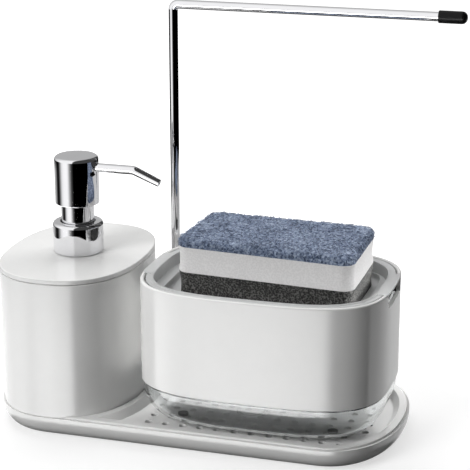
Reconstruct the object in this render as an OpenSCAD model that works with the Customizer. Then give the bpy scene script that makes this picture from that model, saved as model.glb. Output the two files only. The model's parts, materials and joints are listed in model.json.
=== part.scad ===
// Sink-side caddy: an oval soap bottle with a push pump, a sponge holder on a drip
// tray, and a cloth rail, all carried by one base. Lengths are in millimetres.

/* [Base] */
// Height of the base's rim above the table
base_h = 14.3; // [13.4:0.1:18]
// How far the base stands out past the bottle
base_flare = 0.8; // [0.4:0.1:1.5]
// Horizontal radius of the rounded lower edge
base_round_x = 10; // [6:0.5:10.5]
// Vertical radius of the rounded lower edge
base_round_z = 12; // [8:0.5:12.5]
// Wall and floor of the base
base_wall = 2.4; // [2:0.1:2.8]
// How far the base stands out past the holder's right end
base_margin = 9.3; // [7:0.1:14]
// Length of the rounded right end
base_end_len = 46; // [42:1:66]
// Squareness of the right end, 2 is an ellipse
base_end_square = 2.2; // [2:0.1:2.6]
// Depth of the seat that takes the bottle's foot
seat_depth = 9.5; // [8:0.1:9.6]
// Radius of the rubber feet
foot_r = 6; // [5:0.5:7]
// Thickness of the rubber feet
foot_t = 1.6; // [1.4:0.1:2]
// How far the rubber feet stand proud of the base
foot_proud = 0.6; // [0.5:0.1:0.8]

/* [Drip tray] */
// How far the tray's lip stays inside the base's edge
lip_inset = 1.5; // [1:0.1:2]
// Thickness of the lip
lip_t = 1.6; // [1.4:0.1:2]
// Width of the lip
lip_w = 5; // [4:0.5:6]
// Width of the sloped wall inside the lip
slope_w = 4; // [3:0.5:5]
// Thickness of the tray's floor
tray_t = 1.6; // [1.4:0.1:2]
// Depth of the tray's floor below the top of the lip
tray_depth = 4.4; // [3.6:0.1:5]
// Diameter of the drain holes
drain_d = 4.6; // [3:0.1:5]
// Spacing of the drain holes
drain_pitch = 11.4; // [10:0.1:14]

/* [Soap bottle] */
// Half the bottle's section from side to side
bottle_half_x = 46; // [42:0.5:47]
// Half the bottle's section from front to back
bottle_half_y = 64; // [62:0.5:66]
// Squareness of the section, 2 is an ellipse
bottle_square = 2.4; // [2.2:0.1:2.8]
// Height of the visible bottle wall
bottle_h = 89.5; // [80:0.5:95]
// Wall of the bottle
bottle_wall = 2.2; // [1.8:0.1:2.6]
// Thickness of the bottle's floor
bottle_floor = 2.4; // [2:0.1:3]
// How far the bottle's foot is set in to enter the seat
bottle_foot_inset = 3.4; // [3:0.1:3.8]

/* [Lid] */
// Thickness of the lid plate
lid_t = 3; // [2.4:0.1:4]
// Height of the shadow groove under the lid
lid_groove = 0.5; // [0.3:0.1:0.8]
// Height of the lid's plug inside the bottle
plug_h = 6; // [5:0.5:8]
// Wall of the plug
plug_wall = 2; // [1.6:0.1:2.6]
// Height of the neck that carries the pump
neck_h = 13.2; // [12:0.1:14]
// Outer radius of the neck
neck_r = 14; // [13.6:0.1:14.2]
// Section of the seal round the plug
seal_w = 0.9; // [0.6:0.1:1]

/* [Pump] */
// Outer radius of the screw collar
collar_r = 16.5; // [16.2:0.1:18]
// Height of the screw collar
collar_h = 20.2; // [19.8:0.1:21]
// Wall of the screw collar
collar_wall = 2.2; // [1.8:0.1:2.2]
// Radius of the collar's rounded shoulder
collar_round = 2.4; // [1.5:0.1:2.5]
// Outer radius of the chromed neck sleeve
throat_r = 10.7; // [10.4:0.1:10.8]
// Wall of the chromed neck sleeve
throat_wall = 0.8; // [0.6:0.1:1]
// Height of the neck sleeve that shows under the head
throat_show = 12.2; // [12:0.1:13]
// How far the head travels when it is pressed
stroke = 11.5; // [8:0.1:11.6]
// Outer radius of the pump head
head_r = 14.4; // [14:0.1:15]
// Height of the pump head
head_h = 31.9; // [31:0.1:34]
// Wall of the pump head's shell
head_wall = 1; // [0.8:0.1:1.2]
// Rounding of the pump head's top edge
head_round = 2.3; // [1.5:0.1:3]
// Outer radius of the pump cylinder
cylinder_r = 9.6; // [9:0.1:9.8]
// Bore radius of the pump cylinder
cylinder_bore_r = 7.9; // [7.6:0.1:8]
// Length of the pump cylinder below its flange
cylinder_len = 48; // [46:0.5:54]
// Outer radius of the hollow stem
stem_r = 3.5; // [3.2:0.1:3.6]
// Bore radius of the stem
stem_bore_r = 1.8; // [1.6:0.1:2]
// Radius of the return spring's coil, to the wire's middle
spring_r = 5.6; // [5:0.1:6]
// Diameter of the spring's wire
spring_wire = 1; // [0.8:0.1:1.2]
// Number of turns of the spring
spring_turns = 7; // [5:1:9]
// Radius of the valve balls
ball_r = 2.2; // [2.1:0.05:2.3]
// Outer radius of the dip tube
dip_r = 3.4; // [3:0.1:3.6]
// Bore radius of the dip tube
dip_bore_r = 2.4; // [2:0.1:2.6]

/* [Spout] */
// Height of the spout's axis above the head's foot
spout_z = 24.45; // [24:0.05:27]
// Outer radius of the spout at the head
spout_r = 2.9; // [2.5:0.1:3.1]
// Outer radius of the spout at its tip
spout_tip_r = 2.5; // [2.2:0.05:2.7]
// Bore radius of the spout
spout_bore_r = 1.5; // [1.2:0.1:1.7]
// From the pump's axis to the start of the bend
spout_straight = 39.4; // [36:0.2:43]
// Length of the spout past the bend
spout_drop_len = 19; // [12:0.2:21]
// Angle of the bend
spout_bend = 23; // [18:1:35]

/* [Sponge holder] */
// Gap between the bottle and the holder
holder_gap = 4.9; // [4:0.1:7]
// Half the holder from side to side
holder_half_x = 80.6; // [76:0.2:82]
// How far the holder's faces stand in from the bottle's, front and back
holder_side = 3.3; // [2.8:0.1:6]
// Squareness of the section, 2 is an ellipse
holder_square = 3.27; // [3:0.01:3.6]
// Wall of the white sleeve
sleeve_wall = 2.4; // [2:0.1:2.6]
// Height of the white sleeve
sleeve_h = 66.7; // [60:0.1:70]
// Height of the clear foot below the sleeve, without its pads
cup_foot_h = 23.9; // [22.4:0.1:28]
// Wall of the clear cup
cup_wall = 1.7; // [1.4:0.1:2]
// How far the clear foot stays inside the sleeve's face
cup_step = 1; // [0.8:0.1:1.4]
// How far the clear foot draws in at its bottom
cup_round_x = 14; // [10:0.5:16]
// Height of the clear foot's rounding
cup_round_z = 22; // [18:0.5:22]
// Radius of the pads under the clear cup
pad_r = 3.4; // [3:0.1:4]
// Thickness of the pads under the clear cup
pad_t = 1.6; // [1.4:0.1:2]
// From the holder's end to the pads, sideways
pad_in_x = 31.1; // [28:0.1:36]
// From the holder's faces to the pads, front to back
pad_in_y = 28.7; // [26:0.1:36]
// Radius of the larger ring moulded under the cup's floor
ring_r = 9.5; // [8:0.5:9.5]
// Radius of the smaller ring moulded under the cup's floor
small_ring_r = 6.5; // [5:0.5:7]

/* [Drainer] */
// Thickness of the drainer's flange and lugs
flange_t = 1.5; // [1.2:0.1:2]
// Width of the flange inside the sleeve
flange_w = 5.2; // [4.6:0.1:6]
// Wall of the drainer's basket
basket_wall = 1.5; // [1.2:0.1:1.8]
// Depth of the ledge below the flange's top
ledge_depth = 8; // [7:0.5:9]
// Depth of the drainer's floor below the flange's top
basket_depth = 12.5; // [11.5:0.1:14]
// From the holder's end to the deep part of the basket
basket_end = 15.6; // [14:0.2:17]
// Half the width of a lug
lug_half = 21.5; // [20:0.5:23]
// Half the width of a finger notch
notch_half = 19.5; // [17:0.5:20]
// Depth of a finger notch below the sleeve's top
notch_depth = 10; // [9:0.5:11]
// Corner radius of a finger notch
notch_r = 3.5; // [2:0.5:4]
// Length of a slot in the drainer's floor
slot_len = 34; // [28:1:36]
// Width of a slot in the drainer's floor
slot_w = 4; // [3:0.5:5]
// Spacing of the slots
slot_pitch = 12; // [10:0.5:14]

/* [Sponge] */
// Gap between the sponge's ends and the deep part of the basket
sponge_end_gap = 6.5; // [5:0.5:10]
// Mean gap between the sponge and the basket, front and back
sponge_side_gap = 19.4; // [15:0.1:22]
// How much deeper the right end is than the left
sponge_splay = 4; // [0:1:12]
// How far the back left corner stands in from the front left one
sponge_lean = 5; // [0:0.5:6]
// Radius of the sponge's upright corners
sponge_corner_r = 8; // [6:0.5:10]
// Thickness of the scouring pad
scour_t = 6.5; // [5:0.1:8]
// Thickness of the white foam
white_t = 16.7; // [14:0.1:18]
// Thickness of the grey foam
grey_t = 16; // [14:0.1:18]

/* [Cloth rail] */
// From the bottle's end to the rail's post, sideways
rail_gap = 3.2; // [2:0.1:5]
// From the base's back edge to the rail's post
rail_edge = 10.8; // [9.8:0.1:11.8]
// Radius of the rail's wire
rail_r = 3; // [2.6:0.1:3.2]
// Height of the arm's axis above the table
rail_h = 263.8; // [240:0.2:280]
// Radius of the bend, to the wire's middle
rail_bend_r = 3.6; // [3.2:0.2:6]
// Length of the arm, from the post's axis to the cap's end
rail_len = 193; // [185:0.5:200]
// Outer radius of the rubber cap
cap_r = 4; // [3.8:0.05:4.4]
// Length of the rubber cap
cap_len = 18.2; // [16:0.1:22]
// Height of the socket's top above the table
socket_h = 18; // [16.5:0.5:20]
// Outer radius of the socket
socket_r = 5; // [4.5:0.1:5.4]

/* [Hidden] */
$fn = 72;

// Overrun of a cut past the face that it opens
cut = 1;
// Points round an oval outline
oval_points = 96;
// Rings up a rounded lower edge
edge_rings = 6;
// Clearance between round parts that slide or turn in each other
run_gap = 0.05;
// Clearance between loose neighbours on different bodies
loose_gap = 0.3;
// Clearance of the rail's hole round the socket
pass_gap = 0.4;

lid_top = base_h + bottle_h + lid_groove + lid_t;
bottle_top = base_h + bottle_h;
lid_under = lid_top - lid_t;
left_end = bottle_half_x + base_flare;
base_half_y = bottle_half_y + base_flare;
rail_x = bottle_half_x + rail_gap;
rail_y = base_half_y - rail_edge;
right_end = rail_x + rail_len;
frame_x = (left_end - right_end) / 2;
holder_half_y = bottle_half_y - holder_side;
holder_x = bottle_half_x + holder_gap + holder_half_x;
base_reach = holder_x + holder_half_x + base_margin;

base_end_x = base_reach - base_end_len;

seat_floor = base_h - seat_depth;
tray_top = base_h + lip_t;
tray_floor = tray_top - tray_depth;
tray_under = tray_floor - tray_t;
bottle_gap = 0.4;
drain_margin = 2.3;
drain_rows = 4;
drain_left = 7;
drain_right = 6;

feet_inset_left = 28;
feet_inset_right = 36;
feet_inset_y = 24;

groove_inset = 1.2;
seal_h = 2;
seal_drop = 2;

// Pump heights, from the lid upwards
collar_foot = lid_top + loose_gap;
collar_top = collar_foot + collar_h;
collar_plate = 2.6;
collar_hole_gap = 0.8;
neck_top = lid_top + neck_h;
gasket_t = 1;
gasket_top = neck_top + gasket_t;
flange_h = 1.8;
flange_top = gasket_top + flange_h;
housing_flange_r = neck_r - loose_gap;
throat_flange_t = collar_top - collar_plate - flange_top - loose_gap;
head_foot = collar_top + throat_show;
head_top = head_foot + head_h;
throat_tail = 4.8;
throat_top = head_foot + throat_tail;
guide_h = 4.3;
guide_foot = flange_top - guide_h;
piston_h = 8;
piston_lip = 0.9;
piston_waist_r = 6.9;
piston_top = guide_foot - loose_gap;
piston_foot = piston_top - piston_h;
cylinder_foot = flange_top - cylinder_len;
cylinder_end_t = 3;
valve_h = 8;
valve_wall = 1.6;
valve_foot = cylinder_foot - valve_h;
ball_gap = 0.25;
spring_foot = cylinder_foot + cylinder_end_t + ball_r;
dip_foot = seat_floor + bottle_floor + 3 * loose_gap;
dip_entry = 6;
core_rise = 17;
core_foot = head_foot + core_rise;
hub_r = 5.5;
hub_len = 11;
stem_entry = 3.2;
stem_top = core_foot + stem_entry;
chamber_r = 2.7;
core_gap = 0.2;
spout_axis = head_foot + spout_z;
spout_entry = 3;
// The ball that joins the spout's two lengths is this much larger than they are
elbow_swell = 0.02;

// Holder heights, from the drip tray's floor upwards
cup_foot = tray_floor + pad_t;
sleeve_foot = cup_foot + cup_foot_h;
sleeve_top = sleeve_foot + sleeve_h;
cup_fit = 0.2;
flange_sink = 0.2;
cup_top = sleeve_top - flange_t - flange_sink;
cup_in = sleeve_wall + cup_fit;
// The clear foot's even wall steps in to the sleeve's fit under this ledge
cup_ledge_rise = 0.3;
cup_ledge = max(sleeve_foot - cup_wall, cup_foot + cup_round_z + cup_fit);
flange_in = sleeve_wall + 2 * cup_fit;
basket_in = flange_in + flange_w;
flange_top_z = cup_top + flange_t;
ledge_z = flange_top_z - ledge_depth;
basket_floor = flange_top_z - basket_depth;
basket_square = 5;
basket_half_x = holder_half_x - basket_end;
slot_margin = 12;
slots_each_side = floor((basket_half_x - slot_margin) / slot_pitch);
ring_wall = 1.4;
ring_h = 1.2;
ring_x = -8;
ring_y = -16;
small_ring_x = 8.5;
small_ring_y = -13;
pad_x = holder_half_x - pad_in_x;
pad_y = holder_half_y - pad_in_y;

// Sponge sizes and heights, and its outline's middle at each end
sponge_len = 2 * (basket_half_x - sponge_end_gap);
sponge_depth = 2 * (holder_half_y - basket_in - sponge_side_gap);
sponge_foot = basket_floor + loose_gap;
white_foot = sponge_foot + grey_t;
scour_foot = white_foot + white_t;
sponge_top = scour_foot + scour_t;
sponge_shift_x = 2;
sponge_left_mid = 7.7;
sponge_right_mid = 0.8;
corner_steps = 9;
foam_draw = 0.8;
scour_round = 2;
scour_steps = 4;

socket_floor = 1;
rail_foot = base_wall + foot_proud + socket_floor;
cap_bore = 15;
cap_round = 3.5;

function sign_of(v) = v < 0 ? -1 : 1;

// A point of an oval whose squareness is `square`, 2 being an ellipse
function oval_point(a, b, square, t) = [
  a * sign_of(cos(t)) * pow(abs(cos(t)), 2 / square),
  b * sign_of(sin(t)) * pow(abs(sin(t)), 2 / square)
];

function oval(a, b, square) = [
  for (i = [0:oval_points - 1]) oval_point(a, b, square, 360 * i / oval_points)
];

function bottle_outline(grow) = oval(bottle_half_x + grow, bottle_half_y + grow, bottle_square);

function holder_outline(inset) = [
  for (p = oval(holder_half_x - inset, holder_half_y - inset, holder_square)) p + [holder_x, 0]
];

// The base's outline at an inset: the bottle's oval on the left, a rounded end on the right
function base_outline(inset) = concat(
  [for (i = [0:oval_points / 2])
    let (t = 90 + 360 * i / oval_points)
    oval_point(left_end - inset, base_half_y - inset, bottle_square, t)],
  [for (i = [0:oval_points / 2])
    let (t = 360 * i / oval_points - 90)
    oval_point(base_end_len - inset, base_half_y - inset, base_end_square, t) + [base_end_x, 0]]
);

function lift(outline, z) = [for (p = outline) [p[0], p[1], z]];

function unit(v) = v / norm(v);

// An arc that rounds the corner p of an outline that runs from a to p to b, anticlockwise
function round_corner(a, p, b, r) =
  let (
    u = unit(a - p),
    v = unit(b - p),
    half = acos(u * v) / 2,
    middle = p + unit(u + v) * r / sin(half),
    start = p + u * r / tan(half) - middle,
    end = p + v * r / tan(half) - middle,
    first = atan2(start[1], start[0]),
    last = atan2(end[1], end[0]),
    turn = last < first ? last + 360 - first : last - first
  )
  [for (i = [0:corner_steps]) middle + r * [
    cos(first + turn * i / corner_steps),
    sin(first + turn * i / corner_steps)]];

// The sponge's outline at an inset, anticlockwise from its front left corner
function sponge_corners(inset) =
  let (
    x = sponge_len / 2 - inset,
    left = (sponge_depth - sponge_splay / 2) / 2 - inset,
    right = (sponge_depth + sponge_splay / 2) / 2 - inset,
    middle = holder_x + sponge_shift_x
  )
  [
    [middle - x, sponge_left_mid - left],
    [middle + x, sponge_right_mid - right],
    [middle + x, sponge_right_mid + right],
    [middle - x + sponge_lean, sponge_left_mid + left]
  ];

function sponge_outline(inset) =
  let (c = sponge_corners(inset))
  [for (i = [0:3]) each round_corner(c[(i + 3) % 4], c[i], c[(i + 1) % 4], sponge_corner_r - inset)];

// A closed solid through a stack of rings, lowest first, each anticlockwise
module loft(rings) {
  count = len(rings[0]);
  last = len(rings) - 1;
  points = [for (ring = rings) each ring];
  sides = [
    for (k = [0:last - 1], i = [0:count - 1])
      let (j = (i + 1) % count, low = k * count, high = low + count)
      each [[low + i, high + i, high + j], [low + i, high + j, low + j]]
  ];
  floor_face = [for (i = [0:count - 1]) i];
  roof_face = [for (i = [count - 1:-1:0]) last * count + i];
  polyhedron(points = points, faces = concat([floor_face], sides, [roof_face]));
}

// A straight wall between two heights
module prism(outline, low, high) {
  translate([0, 0, low])
    linear_extrude(high - low)
      polygon(outline);
}

// A round tube between two heights
module tube(outer, inner, low, high) {
  translate([0, 0, low])
    difference() {
      cylinder(h = high - low, r = outer);
      translate([0, 0, -cut])
        cylinder(h = high - low + 2 * cut, r = inner);
    }
}

// Rings of the base's rounded lower edge, set in by a wall thickness
function base_rings(wall, top) = concat(
  [for (i = [0:edge_rings])
    let (t = 90 * i / edge_rings)
    lift(
      base_outline(base_round_x - (base_round_x - wall) * sin(t)),
      foot_proud + base_round_z - (base_round_z - wall) * cos(t))],
  [lift(base_outline(wall), top)]
);

// Places of the base's four rubber feet
feet_places = [
  for (x = [feet_inset_left - left_end, base_reach - feet_inset_right], y = [-1, 1])
    [x, y * (base_half_y - feet_inset_y)]
];

module base_tray() {
  color("whitesmoke")
    difference() {
      union() {
        difference() {
          loft(base_rings(0, base_h));
          difference() {
            loft(base_rings(base_wall, base_h + cut));
            prism(bottle_outline(0), 0, base_h + 2 * cut);
          }
        }
        translate([rail_x, rail_y, foot_proud + base_wall / 2])
          cylinder(h = socket_h - foot_proud - base_wall / 2, r = socket_r);
      }
      prism(bottle_outline(loose_gap - bottle_foot_inset), seat_floor, base_h + cut);
      translate([rail_x, rail_y, rail_foot])
        cylinder(h = socket_h, r = rail_r + run_gap);
      for (p = feet_places)
        translate([p[0], p[1], -cut])
          cylinder(h = foot_t + cut, r = foot_r + run_gap);
    }
}

module base_feet() {
  color("dimgray")
    for (p = feet_places)
      translate([p[0], p[1], 0])
        cylinder(h = foot_t, r = foot_r);
}

// True where a drain hole has floor all round it
function drain_fits(x, y) =
  let (
    edge = lip_inset + lip_w + slope_w + drain_margin + drain_d / 2,
    end_a = base_end_len - edge,
    half_y = base_half_y - edge,
    u = max(0, x - base_end_x) / end_a,
    ring = lip_w + slope_w + drain_margin + drain_d / 2
  )
  pow(u, base_end_square) + pow(abs(y) / half_y, base_end_square) < 1
  && pow(abs(x) / (bottle_half_x + ring), bottle_square)
     + pow(abs(y) / (bottle_half_y + ring), bottle_square) > 1
  && norm([x - rail_x, y - rail_y]) > socket_r + drain_margin + drain_d;

drain_places = [
  for (i = [-drain_left:drain_right], j = [-drain_rows:drain_rows])
    let (x = holder_x + i * drain_pitch, y = j * drain_pitch)
    if (drain_fits(x, y)) [x, y]
];

module tray_shell() {
  prism(base_outline(lip_inset), base_h, tray_top);
  loft([
    lift(base_outline(lip_inset + lip_w + slope_w - tray_t), tray_under),
    lift(base_outline(lip_inset + lip_w - tray_t), base_h + lip_t / 2)
  ]);
}

module drip_tray() {
  edge = lip_inset + lip_w;
  fall = slope_w / tray_depth;
  color("gainsboro")
    difference() {
      union() {
        difference() {
          tray_shell();
          loft([
            lift(base_outline(edge + slope_w + fall * (tray_t + cut)), tray_under - cut),
            lift(base_outline(edge - fall * cut), tray_top + cut)
          ]);
        }
        translate([0, 0, tray_under])
          linear_extrude(tray_t)
            difference() {
              polygon(base_outline(edge + slope_w - tray_t / 2));
              for (p = drain_places)
                translate(p)
                  circle(d = drain_d);
            }
        intersection() {
          tray_shell();
          loft([
            lift(bottle_outline(lip_w + slope_w), tray_under),
            lift(bottle_outline(lip_w + slope_w), tray_floor),
            lift(bottle_outline(lip_w), tray_top)
          ]);
        }
      }
      prism(bottle_outline(bottle_gap), 0, tray_top + cut);
      translate([rail_x, rail_y, 0])
        cylinder(h = tray_top + cut, r = socket_r + pass_gap);
    }
}

module soap_bottle() {
  color("whitesmoke")
    difference() {
      union() {
        prism(bottle_outline(0), base_h, bottle_top);
        prism(bottle_outline(-bottle_foot_inset), seat_floor + loose_gap, base_h + cut);
      }
      prism(bottle_outline(-bottle_wall), base_h + bottle_wall, bottle_top + cut);
      prism(
        bottle_outline(-bottle_foot_inset - bottle_wall),
        seat_floor + loose_gap + bottle_floor, bottle_top);
    }
}

plug_in = bottle_wall + seal_w + loose_gap;

module bottle_lid() {
  color("white")
    difference() {
      union() {
        prism(bottle_outline(0), lid_under, lid_top);
        prism(bottle_outline(-groove_inset), bottle_top, lid_under + lid_t / 2);
        difference() {
          prism(bottle_outline(-plug_in), lid_under - plug_h, lid_under + lid_t / 2);
          prism(bottle_outline(-plug_in - plug_wall), lid_under - plug_h - cut, lid_under);
        }
        translate([0, 0, lid_under])
          cylinder(h = neck_top - lid_under, r = neck_r);
      }
      translate([0, 0, lid_under - plug_h])
        cylinder(h = plug_h + neck_top, r = cylinder_r + loose_gap);
    }
}

module lid_seal() {
  color("silver")
    difference() {
      prism(
        bottle_outline(-bottle_wall - loose_gap),
        bottle_top - seal_drop - seal_h, bottle_top - seal_drop);
      prism(
        bottle_outline(-plug_in),
        bottle_top - seal_drop - seal_h - cut, bottle_top - seal_drop + cut);
    }
}

module pump_gasket() {
  color("gray")
    tube(neck_r - loose_gap, cylinder_r + loose_gap, neck_top, gasket_top);
}

// A quarter round, from pointing outwards to pointing up, for a profile's corner
function quarter(x, z, r, steps) = [
  for (i = [0:steps]) [x - r + r * cos(90 * i / steps), z - r + r * sin(90 * i / steps)]
];

round_steps = 8;

module pump_collar() {
  inner = collar_r - collar_wall;
  color("silver")
    rotate_extrude()
      polygon(concat(
        [[inner, collar_foot], [collar_r, collar_foot]],
        quarter(collar_r, collar_top, collar_round, round_steps),
        [
          [throat_r + collar_hole_gap, collar_top],
          [throat_r + collar_hole_gap, collar_top - collar_plate],
          [inner, collar_top - collar_plate]
        ]
      ));
}

module neck_sleeve() {
  inner = throat_r - throat_wall;
  color("silver")
    rotate_extrude()
      polygon([
        [inner, flange_top],
        [housing_flange_r, flange_top],
        [housing_flange_r, flange_top + throat_flange_t],
        [throat_r, flange_top + throat_flange_t],
        [throat_r, throat_top],
        [inner, throat_top]
      ]);
}

module pump_housing() {
  color("ivory")
    rotate_extrude()
      polygon([
        [stem_bore_r, valve_foot + dip_entry],
        [dip_r + run_gap, valve_foot + dip_entry],
        [dip_r + run_gap, valve_foot],
        [dip_r + valve_wall, valve_foot],
        [dip_r + valve_wall, cylinder_foot],
        [cylinder_r, cylinder_foot + valve_wall],
        [cylinder_r, gasket_top],
        [housing_flange_r, gasket_top],
        [housing_flange_r, flange_top],
        [cylinder_bore_r, flange_top],
        [cylinder_bore_r, spring_foot],
        [ball_r + spring_wire, spring_foot],
        [ball_r + spring_wire / 2, cylinder_foot + ball_r],
        [stem_bore_r, cylinder_foot]
      ]);
}

module stem_guide() {
  color("ivory")
    tube(cylinder_bore_r - run_gap, stem_r + run_gap, guide_foot, flange_top);
}

// Height at which a ball rests on the rim of a round hole
function ball_seat(r) = sqrt(ball_r * ball_r - r * r) + ball_gap;

module inlet_ball() {
  color("silver")
    translate([0, 0, cylinder_foot + ball_seat(stem_bore_r)])
      sphere(r = ball_r);
}

spring_steps = 8;
spring_sides = 6;

// One unbroken wire, wound as a helix, with rings square to its run
module pump_spring() {
  low = spring_foot + spring_wire / 2 + run_gap;
  high = piston_foot - spring_wire / 2 - run_gap;
  count = spring_turns * spring_steps;
  climb = (high - low) / count;
  rings = [
    for (k = [0:count])
      let (a = 360 * k / spring_steps, z = low + climb * k)
      [for (i = [0:spring_sides - 1])
        let (b = 360 * i / spring_sides)
        [
          (spring_r + spring_wire / 2 * cos(b)) * cos(a),
          (spring_r + spring_wire / 2 * cos(b)) * sin(a),
          z + spring_wire / 2 * sin(b)
        ]]
  ];
  points = [for (ring = rings) each ring];
  sides = [
    for (k = [0:count - 1], i = [0:spring_sides - 1])
      let (j = (i + 1) % spring_sides, p = k * spring_sides, q = p + spring_sides)
      each [[p + i, p + j, q + j], [p + i, q + j, q + i]]
  ];
  start_face = [for (i = [spring_sides - 1:-1:0]) i];
  end_face = [for (i = [0:spring_sides - 1]) count * spring_sides + i];
  color("silver")
    polyhedron(points = points, faces = concat([start_face], sides, [end_face]));
}

module dip_tube() {
  color("lightcyan")
    tube(dip_r, dip_bore_r, dip_foot, valve_foot + dip_entry);
}

module pump_piston() {
  outer = cylinder_bore_r - run_gap;
  inner = stem_r + run_gap;
  color("ivory")
    rotate_extrude()
      polygon([
        [inner, piston_foot],
        [outer, piston_foot],
        [outer, piston_foot + piston_lip],
        [piston_waist_r, piston_foot + 2 * piston_lip],
        [piston_waist_r, piston_top - 2 * piston_lip],
        [outer, piston_top - piston_lip],
        [outer, piston_top],
        [inner, piston_top]
      ]);
}

module pump_stem() {
  color("ivory")
    tube(stem_r, stem_bore_r, piston_foot, stem_top);
}

module outlet_ball() {
  color("silver")
    translate([0, 0, stem_top + ball_seat(stem_bore_r)])
      sphere(r = ball_r);
}

module head_core() {
  color("whitesmoke")
    difference() {
      union() {
        translate([0, 0, core_foot])
          cylinder(h = head_top - 2 * head_wall - core_foot - core_gap, r = head_r - head_wall - core_gap);
        translate([0, 0, core_foot - hub_len])
          cylinder(h = hub_len + cut, r = hub_r);
      }
      translate([0, 0, core_foot - hub_len - cut])
        cylinder(h = hub_len + cut + stem_top - core_foot, r = stem_r + run_gap);
      translate([0, 0, stem_top - cut])
        cylinder(h = spout_axis - stem_top + cut, r = chamber_r);
      translate([0, 0, spout_axis])
        rotate([0, 90, 0])
          cylinder(h = head_r, r = spout_bore_r);
      translate([head_r - head_wall - core_gap - spout_entry, 0, spout_axis])
        rotate([0, 90, 0])
          cylinder(h = spout_entry + cut, r = spout_r + run_gap);
    }
}

module pump_head() {
  inner = head_r - head_wall;
  color("silver")
    difference() {
      rotate_extrude()
        polygon(concat(
          [[inner, head_foot], [head_r, head_foot]],
          quarter(head_r, head_top, head_round, round_steps),
          [[0, head_top], [0, head_top - head_wall]],
          [[inner - head_wall, head_top - head_wall], [inner, head_top - 2 * head_wall]]
        ));
      translate([0, 0, spout_axis])
        rotate([0, 90, 0])
          cylinder(h = head_r + cut, r = spout_r + run_gap);
    }
}

// The spout's path of a given radius: straight, a ball at the bend, then a tapering end
module spout_path(r, tip_r, extra) {
  start = head_r - head_wall - core_gap - spout_entry - extra;
  translate([start, 0, spout_axis])
    rotate([0, 90, 0])
      cylinder(h = spout_straight - start, r = r);
  translate([spout_straight, 0, spout_axis]) {
    sphere(r = r + elbow_swell);
    rotate([0, 90 + spout_bend, 0])
      cylinder(h = spout_drop_len + extra, r1 = r, r2 = tip_r);
  }
}

module spout_tube() {
  color("silver")
    difference() {
      spout_path(spout_r, spout_tip_r, 0);
      spout_path(spout_bore_r, spout_bore_r, cut);
    }
}

// Rings of the clear foot's rounded lower edge, set in by a wall thickness
function cup_rings(wall) = [
  for (i = [0:edge_rings])
    let (t = 90 * i / edge_rings)
    lift(
      holder_outline(cup_step + cup_round_x - (cup_round_x - wall) * sin(t)),
      cup_foot + cup_round_z - (cup_round_z - wall) * cos(t))
];

module clear_cup() {
  color("lightblue", 0.5)
    difference() {
      union() {
        loft(concat(cup_rings(0), [lift(holder_outline(cup_step), sleeve_foot)]));
        prism(holder_outline(cup_in), sleeve_foot - cut, cup_top);
        translate([holder_x + ring_x, ring_y, 0])
          tube(ring_r, ring_r - ring_wall, cup_foot - ring_h, cup_foot + cup_wall / 2);
        translate([holder_x + small_ring_x, small_ring_y, 0])
          tube(small_ring_r, small_ring_r - ring_wall, cup_foot - ring_h, cup_foot + cup_wall / 2);
      }
      loft(concat(cup_rings(cup_wall), [
        lift(holder_outline(cup_step + cup_wall), cup_ledge),
        lift(holder_outline(cup_in + cup_wall), cup_ledge + cup_ledge_rise),
        lift(holder_outline(cup_in + cup_wall), cup_top + cut)
      ]));
      finger_notches(cup_in + cup_wall + cut);
    }
}

pad_places = [for (x = [-pad_x, pad_x], y = [-pad_y, pad_y]) [holder_x + x, y]];

module cup_feet() {
  color("dimgray")
    for (p = pad_places)
      translate([p[0], p[1], tray_floor])
        cylinder(h = pad_t, r = pad_r);
}

// The outline of a finger notch, seen from the holder's end
module notch_shape(grow) {
  half = notch_half + grow;
  low = -notch_depth - grow;
  difference() {
    translate([-half, low])
      square([2 * half, -low + cut]);
    for (side = [-1, 1])
      translate([side * (half - notch_r), low + notch_r])
        difference() {
          translate([side > 0 ? 0 : -notch_r - cut, -notch_r - cut])
            square([notch_r + cut, notch_r + cut]);
          circle(r = notch_r);
        }
  }
}

// Finger notches through both ends, as deep as a wall thickness
module finger_notches(wall) {
  for (side = [-1, 1])
    translate([holder_x + side * (holder_half_x + cut), 0, sleeve_top])
      rotate([90, 0, -side * 90])
        linear_extrude(wall + 2 * cut)
          notch_shape(0);
}

module holder_sleeve() {
  lug_seat = lug_half + loose_gap;
  color("white")
    difference() {
      prism(holder_outline(0), sleeve_foot, sleeve_top);
      prism(holder_outline(sleeve_wall), sleeve_foot - cut, sleeve_top + cut);
      finger_notches(sleeve_wall + cut);
      translate([holder_x - holder_half_x - cut, -lug_seat, cup_top])
        cube([2 * (holder_half_x + cut), 2 * lug_seat, sleeve_top]);
    }
}

module basket_outline(grow) {
  intersection() {
    polygon(holder_outline(basket_in - grow));
    translate([holder_x, 0])
      polygon(oval(basket_half_x + grow, holder_half_y - basket_in + grow, basket_square));
  }
}

module drain_slot() {
  reach = (slot_len - slot_w) / 2;
  square([slot_w, 2 * reach], center = true);
  for (side = [-1, 1])
    translate([0, side * reach])
      circle(d = slot_w);
}

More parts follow.
